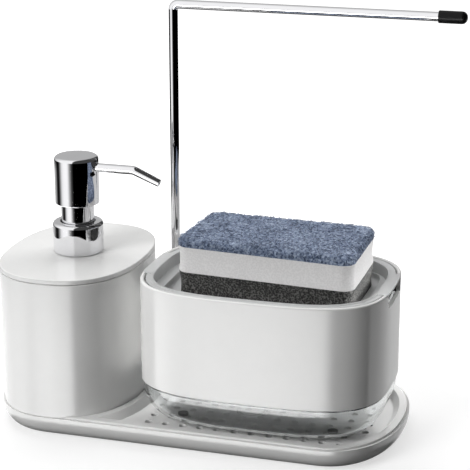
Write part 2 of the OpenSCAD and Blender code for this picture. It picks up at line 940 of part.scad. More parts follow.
module sponge_drainer() {
  lug_len = 2 * holder_half_x;
  color("lightgray", 0.7)
    union() {
      translate([0, 0, cup_top])
        linear_extrude(flange_t)
          difference() {
            union() {
              polygon(holder_outline(flange_in));
              intersection() {
                polygon(holder_outline(cup_fit));
                translate([holder_x, 0])
                  square([lug_len, 2 * lug_half], center = true);
              }
            }
            polygon(holder_outline(basket_in));
          }
      translate([0, 0, ledge_z - basket_wall])
        linear_extrude(flange_top_z - ledge_z + basket_wall - flange_t / 2)
          difference() {
            polygon(holder_outline(basket_in - basket_wall));
            polygon(holder_outline(basket_in));
          }
      translate([0, 0, ledge_z - basket_wall])
        linear_extrude(basket_wall)
          difference() {
            polygon(holder_outline(basket_in - basket_wall));
            basket_outline(0);
          }
      translate([0, 0, basket_floor - basket_wall])
        linear_extrude(ledge_z - basket_floor + basket_wall)
          difference() {
            basket_outline(basket_wall);
            basket_outline(0);
          }
      translate([0, 0, basket_floor - basket_wall])
        linear_extrude(basket_wall)
          difference() {
            basket_outline(basket_wall);
            for (i = [-slots_each_side:slots_each_side], side = [-1, 1])
              translate([holder_x + i * slot_pitch, side * (slot_len + slot_pitch) / 2])
                drain_slot();
          }
    }
}

// A foam layer whose sides draw in a little between its faces
module foam_layer(low, high, foot_inset) {
  middle = (low + high) / 2;
  quarter_up = (high - low) / 4;
  loft([
    lift(sponge_outline(foot_inset), low),
    lift(sponge_outline(foam_draw / 2), low + quarter_up),
    lift(sponge_outline(foam_draw), middle),
    lift(sponge_outline(foam_draw / 2), high - quarter_up),
    lift(sponge_outline(0), high)
  ]);
}

module grey_foam() {
  color("dimgray")
    foam_layer(sponge_foot, white_foot, foam_draw);
}

module white_foam() {
  color("whitesmoke")
    foam_layer(white_foot, scour_foot, 0);
}

module scouring_pad() {
  color("slategray")
    loft(concat(
      [lift(sponge_outline(0), scour_foot)],
      [for (i = [0:scour_steps])
        let (t = 90 * i / scour_steps)
        lift(
          sponge_outline(scour_round * (1 - cos(t))),
          sponge_top - scour_round + scour_round * sin(t))]
    ));
}

module cloth_rail() {
  arm_end = rail_len - cap_len + cap_bore;
  color("silver")
    translate([rail_x, rail_y, 0])
      union() {
        translate([0, 0, rail_foot])
          cylinder(h = rail_h - rail_bend_r - rail_foot, r = rail_r);
        translate([rail_bend_r, 0, rail_h - rail_bend_r])
          rotate([90, 0, 0])
            rotate([0, 0, 90])
              rotate_extrude(angle = 90)
                translate([rail_bend_r, 0])
                  circle(r = rail_r);
        translate([rail_bend_r, 0, rail_h])
          rotate([0, 90, 0])
            cylinder(h = arm_end - rail_bend_r, r = rail_r);
      }
}

module rail_cap() {
  inner = rail_r + run_gap;
  color("black")
    translate([rail_x + rail_len - cap_len, rail_y, rail_h])
      rotate([0, 90, 0])
        rotate_extrude()
          polygon(concat(
            [[inner, 0], [cap_r, 0]],
            quarter(cap_r, cap_len, cap_round, round_steps),
            [[0, cap_len], [0, cap_bore], [inner, cap_bore]]
          ));
}

translate([frame_x, 0, 0]) {
  base_tray();
  base_feet();
  drip_tray();
  soap_bottle();
  bottle_lid();
  lid_seal();
  pump_gasket();
  pump_collar();
  neck_sleeve();
  pump_housing();
  stem_guide();
  inlet_ball();
  pump_spring();
  dip_tube();
  pump_piston();
  pump_stem();
  outlet_ball();
  head_core();
  pump_head();
  spout_tube();
  clear_cup();
  cup_feet();
  holder_sleeve();
  sponge_drainer();
  grey_foam();
  white_foam();
  scouring_pad();
  cloth_rail();
  rail_cap();
}
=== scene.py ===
# %% [markdown]
# # A pump caddy for the sink
# The object is a sink-side caddy: a white soap bottle with a chromed pump, a sponge
# holder that drips into a tray, and a chromed rail for a cloth, all on one base.
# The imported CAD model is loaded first. It fixes every size and place, and each piece
# made below is a finer version of one of its solids, or a finish for one.

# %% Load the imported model
import json
import math

import bmesh
import bpy
import numpy as np
from mathutils import Matrix, Vector, noise


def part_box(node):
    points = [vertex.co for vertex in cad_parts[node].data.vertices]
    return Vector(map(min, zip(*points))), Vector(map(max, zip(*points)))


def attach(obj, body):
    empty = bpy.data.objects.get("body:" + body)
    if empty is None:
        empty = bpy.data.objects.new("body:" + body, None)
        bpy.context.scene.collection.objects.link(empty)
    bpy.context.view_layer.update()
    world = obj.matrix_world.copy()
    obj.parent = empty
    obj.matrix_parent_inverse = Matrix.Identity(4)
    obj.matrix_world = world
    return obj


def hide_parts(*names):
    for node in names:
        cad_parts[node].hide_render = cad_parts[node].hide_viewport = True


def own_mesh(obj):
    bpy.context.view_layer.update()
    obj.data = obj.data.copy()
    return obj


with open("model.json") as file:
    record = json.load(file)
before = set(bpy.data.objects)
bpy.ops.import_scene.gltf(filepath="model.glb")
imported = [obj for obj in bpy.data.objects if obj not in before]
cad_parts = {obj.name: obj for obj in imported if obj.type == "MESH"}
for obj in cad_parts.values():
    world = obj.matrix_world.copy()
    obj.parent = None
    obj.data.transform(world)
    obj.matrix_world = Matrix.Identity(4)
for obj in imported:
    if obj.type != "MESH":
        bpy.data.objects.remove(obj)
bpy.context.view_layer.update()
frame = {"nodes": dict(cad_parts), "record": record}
MM = 0.001

# %% [markdown]
# ## Camera
# A camera is placed by matching a few outlines of known size with the photograph:
# the bottle's oval, the holder and the ends of the base. A long lens from a metre away
# keeps the upright edges nearly parallel, as in a product photograph.

# %% Camera
CAMERA_PLACE = (0.294307, -0.961017, 0.436962)
CAMERA_TILT = math.radians(72.81)
CAMERA_TURN = 0.288
SENSOR_WIDTH = 36
LENS = 125.95

camera = bpy.data.objects.new("photo_camera", bpy.data.cameras.new("photo_camera"))
bpy.context.scene.collection.objects.link(camera)
camera.location = CAMERA_PLACE
camera.rotation_euler = (CAMERA_TILT, 0, CAMERA_TURN)
camera.data.sensor_width = SENSOR_WIDTH
camera.data.lens = LENS
bpy.context.scene.camera = camera
bpy.context.scene.view_settings.view_transform = "Standard"
print("camera looks from", CAMERA_PLACE)

# %% [markdown]
# ## Outlines
# The bottle, the holder and the base are all superellipses: ovals whose corners can be
# made squarer with one exponent. A modeller could draw them as Bezier curves and adjust
# handles, but the formula gives every inset of the same oval with matching points, so
# the rings of a wall line up and the shading stays even. The points are spread evenly
# along the edge, which keeps the faces square-ish.

# %% Ovals
FINE_STEPS = 4001
RING_POINTS = 192


def oval(half_x, half_y, square, angles):
    """Points of a superellipse in the directions given; square 2 is an ellipse."""
    c, s = np.cos(angles), np.sin(angles)
    reach = (np.abs(c / half_x) ** square + np.abs(s / half_y) ** square) ** (-1 / square)
    return np.column_stack([reach * c, reach * s])


def even_angles(half_x, half_y, square, first, last, count):
    """Directions that space the points of a superellipse evenly along its edge."""
    fine = np.linspace(first, last, FINE_STEPS)
    steps = np.linalg.norm(np.diff(oval(half_x, half_y, square, fine), axis=0), axis=1)
    run = np.concatenate([[0], np.cumsum(steps)])
    return np.interp(np.linspace(0, run[-1], count), run, fine)


def at_height(points, z):
    """A flat outline as a ring in space."""
    return np.column_stack([points, np.full(len(points), z)])


print("rings have", RING_POINTS, "points")

# %% [markdown]
# ## Profiles and skins
# Nearly every moulding here is a stack of rings with faces between them. A profile is a
# list of corners, each with its own small radius, because a real moulding has no sharp
# edge: the radius is what catches the light. Modelling the radius in the profile is
# steadier than a bevel modifier, which is kept for the edges that a boolean cuts.

# %% Profiles
ARC_STEPS = 5
HALF_RUN = 0.49
FULL_RUN = 0.98


def rounded(corners, closed=True):
    """A profile with its corners turned to arcs. A corner is (across, height, radius)."""
    made = []
    count = len(corners)
    for i, (x, z, radius) in enumerate(corners):
        here = Vector((x, z))
        if radius == 0 or (not closed and i in (0, count - 1)):
            made.append((x, z))
            continue
        before = Vector(corners[i - 1][:2]) - here
        after = Vector(corners[(i + 1) % count][:2]) - here
        half = before.angle(after) / 2
        shares = [FULL_RUN if corners[k % count][2] == 0 else HALF_RUN for k in (i - 1, i + 1)]
        run = min(radius / math.tan(half), shares[0] * before.length, shares[1] * after.length)
        start = here + before.normalized() * run
        end = here + after.normalized() * run
        middle = here + (before.normalized() + after.normalized()).normalized() * run / math.cos(half)
        first, last = start - middle, end - middle
        turn = first.angle_signed(last)
        for k in range(ARC_STEPS + 1):
            spoke = first.copy()
            spoke.rotate(Matrix.Rotation(-turn * k / ARC_STEPS, 2))
            made.append(tuple(middle + spoke))
    return made


print("profile corners get", ARC_STEPS, "steps")

# %% Skins
WELD = 1e-6


def mesh_piece(name, points, faces):
    """A new object from points and faces, with its normals outwards and no doubles."""
    mesh = bpy.data.meshes.new(name)
    mesh.from_pydata([tuple(p) for p in points], [], faces)
    work = bmesh.new()
    work.from_mesh(mesh)
    bmesh.ops.remove_doubles(work, verts=work.verts, dist=WELD)
    bmesh.ops.recalc_face_normals(work, faces=work.faces)
    work.to_mesh(mesh)
    work.free()
    piece = bpy.data.objects.new(name, mesh)
    bpy.context.scene.collection.objects.link(piece)
    return piece


def band(low, high, count):
    """The faces between two rings, from the number of each ring's first point."""
    return [(low + i, low + (i + 1) % count, high + (i + 1) % count, high + i) for i in range(count)]


def skin(name, rings, closed=False):
    """A skin through a stack of rings. Closed joins the last ring to the first."""
    rings = np.asarray(rings, float)
    layers, count = rings.shape[:2]
    faces = []
    for k in range(layers if closed else layers - 1):
        faces += band(k * count, (k + 1) % layers * count, count)
    if not closed:
        faces.append(tuple(range(count - 1, -1, -1)))
        faces.append(tuple(range((layers - 1) * count, layers * count)))
    return mesh_piece(name, rings.reshape(-1, 3), faces)


print("points within", round(WELD / MM, 4), "mm are merged")

# %% Smooth shading
SHARP_ANGLE = math.radians(35)


def keep_modifiers(piece):
    """Turns a piece's modifiers into plain mesh."""
    graph = bpy.context.evaluated_depsgraph_get()
    mesh = bpy.data.meshes.new_from_object(piece.evaluated_get(graph), depsgraph=graph)
    piece.modifiers.clear()
    piece.data = mesh
    mesh.name = piece.name


def shade(piece, angle=SHARP_ANGLE):
    """Smooth shading, crisp at sharp edges, whose large faces keep their own direction."""
    piece.data.shade_smooth()
    piece.data.set_sharp_from_angle(angle=angle)
    modifier = piece.modifiers.new("even_normals", "WEIGHTED_NORMAL")
    modifier.keep_sharp = True
    keep_modifiers(piece)
    return piece


print("edges above", round(math.degrees(SHARP_ANGLE)), "degrees stay crisp")

# %% [markdown]
# ## Cuts and soft edges
# Slots, notches and drain holes are cut with exact booleans, as a mould's pins would
# leave them. The cut edges are then softened with a narrow bevel, chosen by angle so
# that the smooth walls keep their faces.

# %% Booleans and bevels
BEVEL_ANGLE = math.radians(38)
BEVEL_STEPS = 2


def combine(piece, *others, how="DIFFERENCE"):
    """Cuts other solids from a piece, or joins them to it, and removes them."""
    for other in others:
        modifier = piece.modifiers.new("combine", "BOOLEAN")
        modifier.operation = how
        modifier.solver = "EXACT"
        modifier.object = other
        keep_modifiers(piece)
        bpy.data.objects.remove(other)
    return piece


def soften(piece, width, angle=BEVEL_ANGLE):
    """Rounds the edges sharper than an angle."""
    modifier = piece.modifiers.new("soften", "BEVEL")
    modifier.width = width
    modifier.segments = BEVEL_STEPS
    modifier.limit_method = "ANGLE"
    modifier.angle_limit = angle
    keep_modifiers(piece)
    return piece


print("bevels have", BEVEL_STEPS, "steps")

# %% [markdown]
# ## Round and swept pieces
# The pump is made of turned parts: plastic mouldings that are plated afterwards. A
# turned part is a profile spun round an axis. The spout and the rail are wires and
# tubes that follow a path, so a ring is carried along it, square to the run.

# %% Turned and swept pieces
TURN_POINTS = 96


def circle(radius, count=TURN_POINTS):
    """A round outline."""
    angles = np.arange(count) * math.tau / count
    return radius * np.column_stack([np.cos(angles), np.sin(angles)])


def turned(name, corners, centre, closed=True, count=TURN_POINTS):
    """A profile of (radius, height, rounding) spun round an upright axis."""
    rings = [at_height(circle(r, count), z) for r, z in rounded(corners, closed)]
    piece = skin(name, rings, closed)
    piece.data.transform(Matrix.Translation(centre))
    return piece


def rings_along(path, radii, count):
    """Rings square to a path that stays in one upright plane along X."""
    path = np.asarray(path, float)
    runs = np.gradient(path, axis=0)
    runs /= np.linalg.norm(runs, axis=1)[:, None]
    side = np.array([0, 1, 0])
    angles = np.arange(count) * math.tau / count
    rings = []
    for point, run, radius in zip(path, runs, radii):
        up = np.cross(run, side)
        rings.append(point + radius * (np.outer(np.cos(angles), side) + np.outer(np.sin(angles), up)))
    return rings


print("turned pieces have", TURN_POINTS, "points round")

# %% [markdown]
# ## Colours and nodes
# Colours are written as the sRGB hex values that a picker shows, and one function turns
# them to the linear values that a shader needs. One small function adds any node with
# its settings and its links, so that a material reads as a list of what feeds what.

# %% Colours
SRGB_KNEE = 0.04045
SRGB_SLOPE = 12.92
SRGB_OFFSET = 0.055
SRGB_POWER = 2.4
SRGB_TOP = 255
HEX_BASE = 16
HEX_PLACES = (1, 3, 5)


def linear(hex_colour):
    """An sRGB hex colour as linear RGBA."""
    made = []
    for k in HEX_PLACES:
        v = int(hex_colour[k:k + 2], HEX_BASE) / SRGB_TOP
        curve = ((v + SRGB_OFFSET) / (1 + SRGB_OFFSET)) ** SRGB_POWER
        made.append(v / SRGB_SLOPE if v <= SRGB_KNEE else curve)
    return (*made, 1)


white = linear("#FFFFFF")
print("white is", [round(v, 3) for v in white])

# %% Nodes and materials
def add(tree, kind, values=None, links=None, stops=(), **settings):
    """Adds a node, sets its options, stops and sockets, and links other nodes' outputs to it."""
    made = tree.nodes.new(kind)
    for key, value in settings.items():
        setattr(made, key, value)
    for i, (position, colour) in enumerate(stops):
        if i == len(made.color_ramp.elements):
            made.color_ramp.elements.new(position)
        made.color_ramp.elements[i].position = position
        made.color_ramp.elements[i].color = colour
    for key, value in (values or {}).items():
        made.inputs[key].default_value = value
    for key, source in (links or {}).items():
        tree.links.new(source, made.inputs[key])
    return made


def new_material(name, **values):
    """A material with one surface shader whose plain values are set on its own sockets."""
    material = bpy.data.materials.new(name)
    material.use_nodes = True
    shader = material.node_tree.nodes["Principled BSDF"]
    for key, value in values.items():
        shader.inputs[key.replace("_", " ")].default_value = value
    return material, material.node_tree, shader


print("materials so far:", len(bpy.data.materials))

# %% [markdown]
# ## Gloss white plastic
# The base, tray, bottle, lid and sleeve are injection-moulded ABS with a polished
# mould. To the eye that is an even, slightly warm white with a clear but soft
# reflection. Up close such a surface has a faint waviness from cooling, a few
# millimetres across and some hundredths deep, and light handling marks in the gloss.
# Both are made with noise: one feeds a very weak bump, the other moves the roughness a
# little.

# %% Gloss white ABS
WAVE_WIDTH = 6 * MM
MARK_WIDTH = 18 * MM
WAVE_DEPTH = 0.02 * MM
MARK_DETAIL = 4
WAVE_DETAIL = 1
MARK_STOPS = (0.3, 0.7)


def moulded(name, light, dark, rough_low, rough_high, wave=WAVE_WIDTH, depth=WAVE_DEPTH, **values):
    """A moulded plastic: near even colour, soft waviness and handling marks in the gloss."""
    material, tree, shader = new_material(name, **values)
    place = add(tree, "ShaderNodeTexCoord").outputs["Object"]
    marks = add(
        tree, "ShaderNodeTexNoise", {"Scale": 1 / MARK_WIDTH, "Detail": MARK_DETAIL}, {"Vector": place})
    colour = add(
        tree, "ShaderNodeValToRGB", links={"Fac": marks.outputs["Fac"]},
        stops=list(zip(MARK_STOPS, (linear(dark), linear(light)))))
    gloss = add(
        tree, "ShaderNodeMapRange", {"To Min": rough_low, "To Max": rough_high},
        {"Value": marks.outputs["Fac"]})
    waves = add(tree, "ShaderNodeTexNoise", {"Scale": 1 / wave, "Detail": WAVE_DETAIL}, {"Vector": place})
    bump = add(tree, "ShaderNodeBump", {"Distance": depth}, {"Height": waves.outputs["Fac"]})
    tree.links.new(colour.outputs["Color"], shader.inputs["Base Color"])
    tree.links.new(gloss.outputs["Result"], shader.inputs["Roughness"])
    tree.links.new(bump.outputs["Normal"], shader.inputs["Normal"])
    return material


white_abs = moulded(
    "gloss_white_abs", "#E9E9E8", "#E6E6E5", rough_low=0.14, rough_high=0.24, IOR=1.54)
print("made", white_abs.name)

# %% [markdown]
# ## Chrome
# The pump's shell, collar, neck and spout are plated plastic, and the rail is plated
# steel wire. Polished chrome has almost no colour of its own: it shows its
# surroundings, a little darker and very slightly cool. The plating follows the faint
# waves of what is under it, so a long shallow bump bends the reflections a touch.

# %% Chrome
CHROME_WAVE = 9 * MM
CHROME_DEPTH = 0.006 * MM


def polished_metal(name, light, dark, rough_low, rough_high, wave=CHROME_WAVE, depth=CHROME_DEPTH):
    """A bright metal with slight changes of gloss and a faint waviness."""
    return moulded(name, light, dark, rough_low, rough_high, wave, depth, Metallic=1)


chrome = polished_metal("polished_chrome", "#E9E9EB", "#E4E4E6", rough_low=0.02, rough_high=0.045)
steel = polished_metal("bright_steel_wire", "#C6C5C3", "#B4B3B1", rough_low=0.2, rough_high=0.32)
print("made", chrome.name, "and", steel.name)

# %% [markdown]
# ## Clear and frosted plastic
# The cup is clear SAN, moulded thick, with a refractive index near 1.57, so its curved
# foot shows the tray behind it bent and banded. The drainer is the same family of
# plastic with a frosted surface: light gets through it but nothing can be read through
# it, and it looks pale grey.

# %% Clear and frosted SAN
clear_san = moulded(
    "clear_san", "#FCFDFD", "#F9FBFB", rough_low=0.01, rough_high=0.03, IOR=1.57,
    Transmission_Weight=1)
frosted_san = moulded(
    "frosted_san", "#E4E5E5", "#DCDDDD", rough_low=0.3, rough_high=0.4, IOR=1.5,
    Transmission_Weight=0.4)
natural_plastic = moulded(
    "natural_polypropylene", "#DEDCD4", "#D3D1C8", rough_low=0.35, rough_high=0.5, IOR=1.49,
    Transmission_Weight=0.25)
print("made", clear_san.name, frosted_san.name, natural_plastic.name)

# %% [markdown]
# ## Rubber
# The rail's end cap is black moulded rubber, the feet and pads are grey, and the seals
# are softer and paler. Rubber scatters light widely, and a moulded skin carries a fine
# grain a few tenths of a millimetre across, which is drawn at half a millimetre so that
# it can be seen at all.

# %% Rubber
GRAIN_WIDTH = 0.5 * MM
GRAIN_DEPTH = 0.03 * MM


def rubber(name, light, dark, rough_low, rough_high, shine=0.5):
    """A moulded rubber with a fine grain."""
    return moulded(
        name, light, dark, rough_low, rough_high, GRAIN_WIDTH, GRAIN_DEPTH, IOR=1.52,
        Specular_IOR_Level=shine)


black_rubber = rubber("black_rubber", "#0E0E0E", "#0A0A0A", rough_low=0.3, rough_high=0.42, shine=0.2)
grey_rubber = rubber("grey_rubber", "#3A3A3A", "#2E2E2E", rough_low=0.6, rough_high=0.75)
soft_seal = rubber("soft_silicone_seal", "#A6A7A8", "#999A9B", rough_low=0.45, rough_high=0.6)
print("made", black_rubber.name, grey_rubber.name, soft_seal.name)

# %% [markdown]
# ## Foam and scouring pad
# The sponge is two polyurethane foams under a scouring pad of matted nylon fibre. Open
# cells are a few tenths of a millimetre wide: each is a small hole between struts, and
# the shade inside it is painted as a darker colour. They are drawn near a millimetre so
# that they show as grain. The pad is a tangle of blue-grey fibres with shade between
# them, painted as darker gaps, so its colour comes from two noises, one for the painted
# shade of the gaps and one for slow changes over the pad.

# %% Tone and bump of soft pieces
PATCH_SHARE = 0.3
PATCH_WIDTH = 9 * MM
PATCH_DETAIL = 3


def with_slow_patches(tree, place, pattern):
    """A soft piece's fine pattern, with slow changes of tone across the piece added to it."""
    patches = add(
        tree, "ShaderNodeTexNoise", {"Scale": 1 / PATCH_WIDTH, "Detail": PATCH_DETAIL}, {"Vector": place})
    return add(
        tree, "ShaderNodeMath", {1: PATCH_SHARE}, {0: patches.outputs["Fac"], 2: pattern},
        operation="MULTIPLY_ADD").outputs["Value"]


def tone_and_bump(tree, shader, level, tones, stops, height, **bump_values):
    """Colours a soft piece by one pattern and raises it by another."""
    colour = add(
        tree, "ShaderNodeValToRGB", links={"Fac": level},
        stops=[(stop, linear(tone)) for stop, tone in zip(stops, tones)])
    bump = add(tree, "ShaderNodeBump", bump_values, {"Height": height})
    tree.links.new(colour.outputs["Color"], shader.inputs["Base Color"])
    tree.links.new(bump.outputs["Normal"], shader.inputs["Normal"])


print("tone changes over", PATCH_WIDTH / MM, "mm")

# %% Open-cell foam
CELL_WIDTH = 1.1 * MM
COARSE_CELL_DEPTH = 0.35 * MM
FINE_CELL_DEPTH = 0.06 * MM
CELL_STOPS = (0.42, 0.68, 0.92)


def foam(name, tones, depth):
    """An open-cell foam: its grain of cells, with painted shade making each cell darker than the struts, and
    a bump that follows them.
    """
    material, tree, shader = new_material(name, Roughness=0.95, Specular_IOR_Level=0.2, Sheen_Weight=0.15)
    place = add(tree, "ShaderNodeTexCoord").outputs["Object"]
    cells = add(tree, "ShaderNodeTexVoronoi", {"Scale": 1 / CELL_WIDTH}, {"Vector": place})
    cells = cells.outputs["Distance"]
    level = with_slow_patches(tree, place, cells)
    # The darkest tone, at each cell's middle, is painted shade in the pore.
    tone_and_bump(tree, shader, level, tones, CELL_STOPS, cells, Distance=depth)
    return material


print("foam cells are", CELL_WIDTH / MM, "mm wide")

# %% Scouring fibre
FIBRE_GAP = 1.6 * MM
FIBRE_DEPTH = 0.3 * MM
TANGLE = 0.6
STRAND_RANGE = (0.4, 0.9)
STRAND_STOPS = (0.25, 0.42, 0.58, 0.75)
STRAND_BUMP = 0.6


def scouring_fibre(name, tones):
    """Matted nylon fibre: pale strands over gaps darkened by painted shade, with slow changes across the pad.
    """
    material, tree, shader = new_material(name, Roughness=0.8, Specular_IOR_Level=0.3, Sheen_Weight=0.2)
    place = add(tree, "ShaderNodeTexCoord").outputs["Object"]
    gaps = add(
        tree, "ShaderNodeTexNoise", {"Scale": 1 / FIBRE_GAP, "Detail": PATCH_DETAIL, "Distortion": TANGLE},
        {"Vector": place}).outputs["Fac"]
    level = add(
        tree, "ShaderNodeMapRange", {"From Min": STRAND_RANGE[0], "From Max": STRAND_RANGE[1]},
        {"Value": with_slow_patches(tree, place, gaps)})
    # The darkest tone, in the gaps between strands, is painted shade.
    tone_and_bump(
        tree, shader, level.outputs["Result"], tones, STRAND_STOPS, gaps,
        Distance=FIBRE_DEPTH, Strength=STRAND_BUMP)
    return material


print("gaps between strands are", FIBRE_GAP / MM, "mm wide")

# %% Foam and pad finishes
# The first, darkest tone of each foam is painted shade in its cells, and the pad's is painted shade in its
# gaps.
grey_foam_finish = foam("grey_polyurethane_foam", ("#272727", "#424241", "#676765"), COARSE_CELL_DEPTH)
white_foam_finish = foam("white_polyurethane_foam", ("#DEDDDD", "#E3E2E2", "#E8E7E7"), FINE_CELL_DEPTH)
blue_nylon = scouring_fibre("blue_scouring_nylon", ("#404B5F", "#65728A", "#7E8BA2", "#9CA8BB"))
print("made", grey_foam_finish.name, white_foam_finish.name, blue_nylon.name)

# %% [markdown]
# ## Putting a piece in place
# Each finished piece gets its material, rides on the body of the CAD solid that it
# stands for, and hides that solid, which stays for collisions.

# %% Place a piece
def place_piece(piece, material, slot, body, *nodes):
    """Gives a piece its finish and its body, and hides the CAD nodes that it stands for."""
    piece.data.materials.clear()
    piece.data.materials.append(material)
    shade(piece)
    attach(piece, body)
    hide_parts(*nodes)
    print(f"{piece.name}: {len(piece.data.polygons)} faces on {body}")
    return piece


# %% [markdown]
# ## Where things stand
# The places come from the CAD boxes, so nothing here has to be fitted by eye. The
# pump's axis is the middle of the bottle's oval, and the holder has its own middle.

# %% Places and outlines
bottle_low, bottle_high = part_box("soap_bottle")
base_low, base_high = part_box("base_tray")
tray_low, tray_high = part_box("drip_tray")
sleeve_low, sleeve_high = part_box("holder_sleeve")
cup_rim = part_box("clear_cup")[1].z

BOTTLE_SQUARE = 2.4
BASE_END_SQUARE = 2.2
HOLDER_SQUARE = 3.27
BASE_END_LEN = 46 * MM
BASE_FLARE = 0.8 * MM
BASE_RIM = 14.3 * MM

pump_x = (bottle_low.x + bottle_high.x) / 2
bottle_half = (bottle_high - bottle_low) / 2
holder_x = (sleeve_low.x + sleeve_high.x) / 2
holder_half = (sleeve_high - sleeve_low) / 2
pump_axis = Vector((pump_x, 0, 0))
base_end_x = base_high.x - BASE_END_LEN
bottle_angles, holder_angles = (
    even_angles(half.x, half.y, square, 0, math.tau, RING_POINTS + 1)[:-1]
    for half, square in ((bottle_half, BOTTLE_SQUARE), (holder_half, HOLDER_SQUARE)))


def bottle_ring(inset, z):
    """The bottle's oval at an inset and a height."""
    points = oval(bottle_half.x - inset, bottle_half.y - inset, BOTTLE_SQUARE, bottle_angles)
    return at_height(points + [pump_x, 0], z)


def holder_ring(inset, z):
    """The holder's oval at an inset and a height."""
    points = oval(holder_half.x - inset, holder_half.y - inset, HOLDER_SQUARE, holder_angles)
    return at_height(points + [holder_x, 0], z)


print("pump axis at x", round(pump_x / MM, 2), "mm, holder's middle at x", round(holder_x / MM, 2), "mm")

# %% [markdown]
# ## The base's outline
# The base follows the bottle's oval on the left and has a rounder end on the right,
# with straight runs between. Each of the four stretches gets its own even points.

# %% Base outline
END_POINTS = 65
RUN_POINTS = 60
QUARTER = math.pi / 2
base_half_y = bottle_half.y + BASE_FLARE
left_angles = even_angles(
    bottle_half.x + BASE_FLARE, base_half_y, BOTTLE_SQUARE, QUARTER, 3 * QUARTER, END_POINTS)
right_angles = even_angles(BASE_END_LEN, base_half_y, BASE_END_SQUARE, -QUARTER, QUARTER, END_POINTS)


def base_ring(inset, z):
    """The base's outline at an inset and a height."""
    half_y = base_half_y - inset
    left = oval(bottle_half.x + BASE_FLARE - inset, half_y, BOTTLE_SQUARE, left_angles) + [pump_x, 0]
    right = oval(BASE_END_LEN - inset, half_y, BASE_END_SQUARE, right_angles) + [base_end_x, 0]
    run = np.linspace(pump_x, base_end_x, RUN_POINTS)[1:-1]
    front = np.column_stack([run, np.full(len(run), -half_y)])
    back = np.column_stack([run[::-1], np.full(len(run), half_y)])
    return at_height(np.concatenate([left, front, right, back]), z)


print("the base's outline has", len(base_ring(0, 0)), "points")

# %% [markdown]
# ## Base
# The base is a shallow tub with a rounded lower edge. It is solid under the bottle,
# apart from the seat that the bottle's foot drops into, and hollow under the drip tray
# to catch the water. It is lofted, then the hollow and the seat are cut.

# %% Base
BASE_ROUND_X = 10 * MM
BASE_ROUND_Z = 12 * MM
BASE_WALL = 2.4 * MM
BASE_STEPS = 14
OVERRUN = 1 * MM
BOTTLE_FOOT_INSET = 3.4 * MM
SEAT_GAP = 0.3 * MM
SEAT_FLOOR = 4.8 * MM
RIM_SOFT = 0.45 * MM


def tub_foot(edge, low, round_x, round_z, wall, steps):
    """The curve of a tub's rounded foot at a wall thickness, as insets and heights."""
    return [(edge + round_x - (round_x - wall) * math.sin(t), low + round_z - (round_z - wall) * math.cos(t))
            for t in np.linspace(0, QUARTER, steps)]


def base_bowl(name, wall, top):
    """The base's outer or inner form, closed at a height."""
    foot = tub_foot(0, base_low.z, BASE_ROUND_X, BASE_ROUND_Z, wall, BASE_STEPS)
    return skin(name, [base_ring(x, z) for x, z in (*foot, (wall, top))])


base = base_bowl("moulded_base", 0, BASE_RIM)
hollow = base_bowl("hollow", BASE_WALL, BASE_RIM + OVERRUN)
kept = skin("kept", [bottle_ring(0, 0), bottle_ring(0, BASE_RIM + 2 * OVERRUN)])
combine(hollow, kept)
seat_inset = BOTTLE_FOOT_INSET - SEAT_GAP
seat = skin("seat", [bottle_ring(seat_inset, SEAT_FLOOR), bottle_ring(seat_inset, BASE_RIM + OVERRUN)])
combine(base, hollow, seat)
print("base cut:", len(base.data.polygons), "faces")

# %% [markdown]
# The rail stands in a tubular socket that rises through the tray, and four rubber feet
# sit in shallow round pockets under the floor.

# %% Rail socket and foot pockets
SOCKET_R = 5 * MM
SOCKET_TOP = 18 * MM
RAIL_R = 3 * MM
RUN_GAP = 0.05 * MM
SOCKET_FLOOR = 4 * MM
FOOT_R = 6 * MM
FOOT_T = 1.6 * MM
rail_low, rail_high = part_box("cloth_rail")
feet_low, feet_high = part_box("base_feet")
rail_x = rail_low.x + RAIL_R
rail_y = (rail_low.y + rail_high.y) / 2
rail_place = Vector((rail_x, rail_y, 0))


def plain_rod(name, radius, low, high, centre, count=TURN_POINTS):
    """A round cutter or a boss between two heights."""
    piece = skin(name, [at_height(circle(radius, count), low), at_height(circle(radius, count), high)])
    piece.data.transform(Matrix.Translation(centre))
    return piece


socket = plain_rod("socket", SOCKET_R, base_low.z + BASE_WALL / 2, SOCKET_TOP, rail_place)
combine(base, socket, how="UNION")
combine(base, plain_rod("rail_hole", RAIL_R + RUN_GAP, SOCKET_FLOOR, SOCKET_TOP + OVERRUN, rail_place))
for foot_x in (feet_low.x + FOOT_R, feet_high.x - FOOT_R):
    for side in (-1, 1):
        foot_place = Vector((foot_x, side * (feet_high.y - FOOT_R), 0))
        combine(base, plain_rod("pocket", FOOT_R + RUN_GAP, -OVERRUN, FOOT_T, foot_place))
soften(base, RIM_SOFT)
place_piece(base, white_abs, "white_abs", "base", "base_tray")

# %% [markdown]
# ## Drip tray
# The tray is a thin moulding that lies on the base's rim. Its lip is flat, then a slope
# runs down to a floor with a grid of drain holes. Where it meets the bottle the lip
# turns in along the bottle's curve. The body is lofted solid, the well is cut from it
# with a rounded foot, and the holes are cut last.

# %% Drip tray
LIP_INSET = 1.5 * MM
LIP_T = 1.6 * MM
LIP_W = 5 * MM
SLOPE_W = 4 * MM
TRAY_T = 1.6 * MM
TRAY_DEPTH = 4.4 * MM
BOTTLE_GAP = 0.4 * MM
WELL_ROUND = 1.6 * MM
LIP_ROUND = 0.6 * MM
LIP_UNDER = 0.5 * MM
tray_top = tray_high.z
tray_floor = tray_top - TRAY_DEPTH
slope_fall = SLOPE_W / TRAY_DEPTH * OVERRUN
lip_edge = LIP_INSET + LIP_W


def rounded_rings(ring, corners, closed=False):
    """A profile's rings with its corners rounded."""
    return [ring(x, z) for x, z in rounded(corners, closed)]


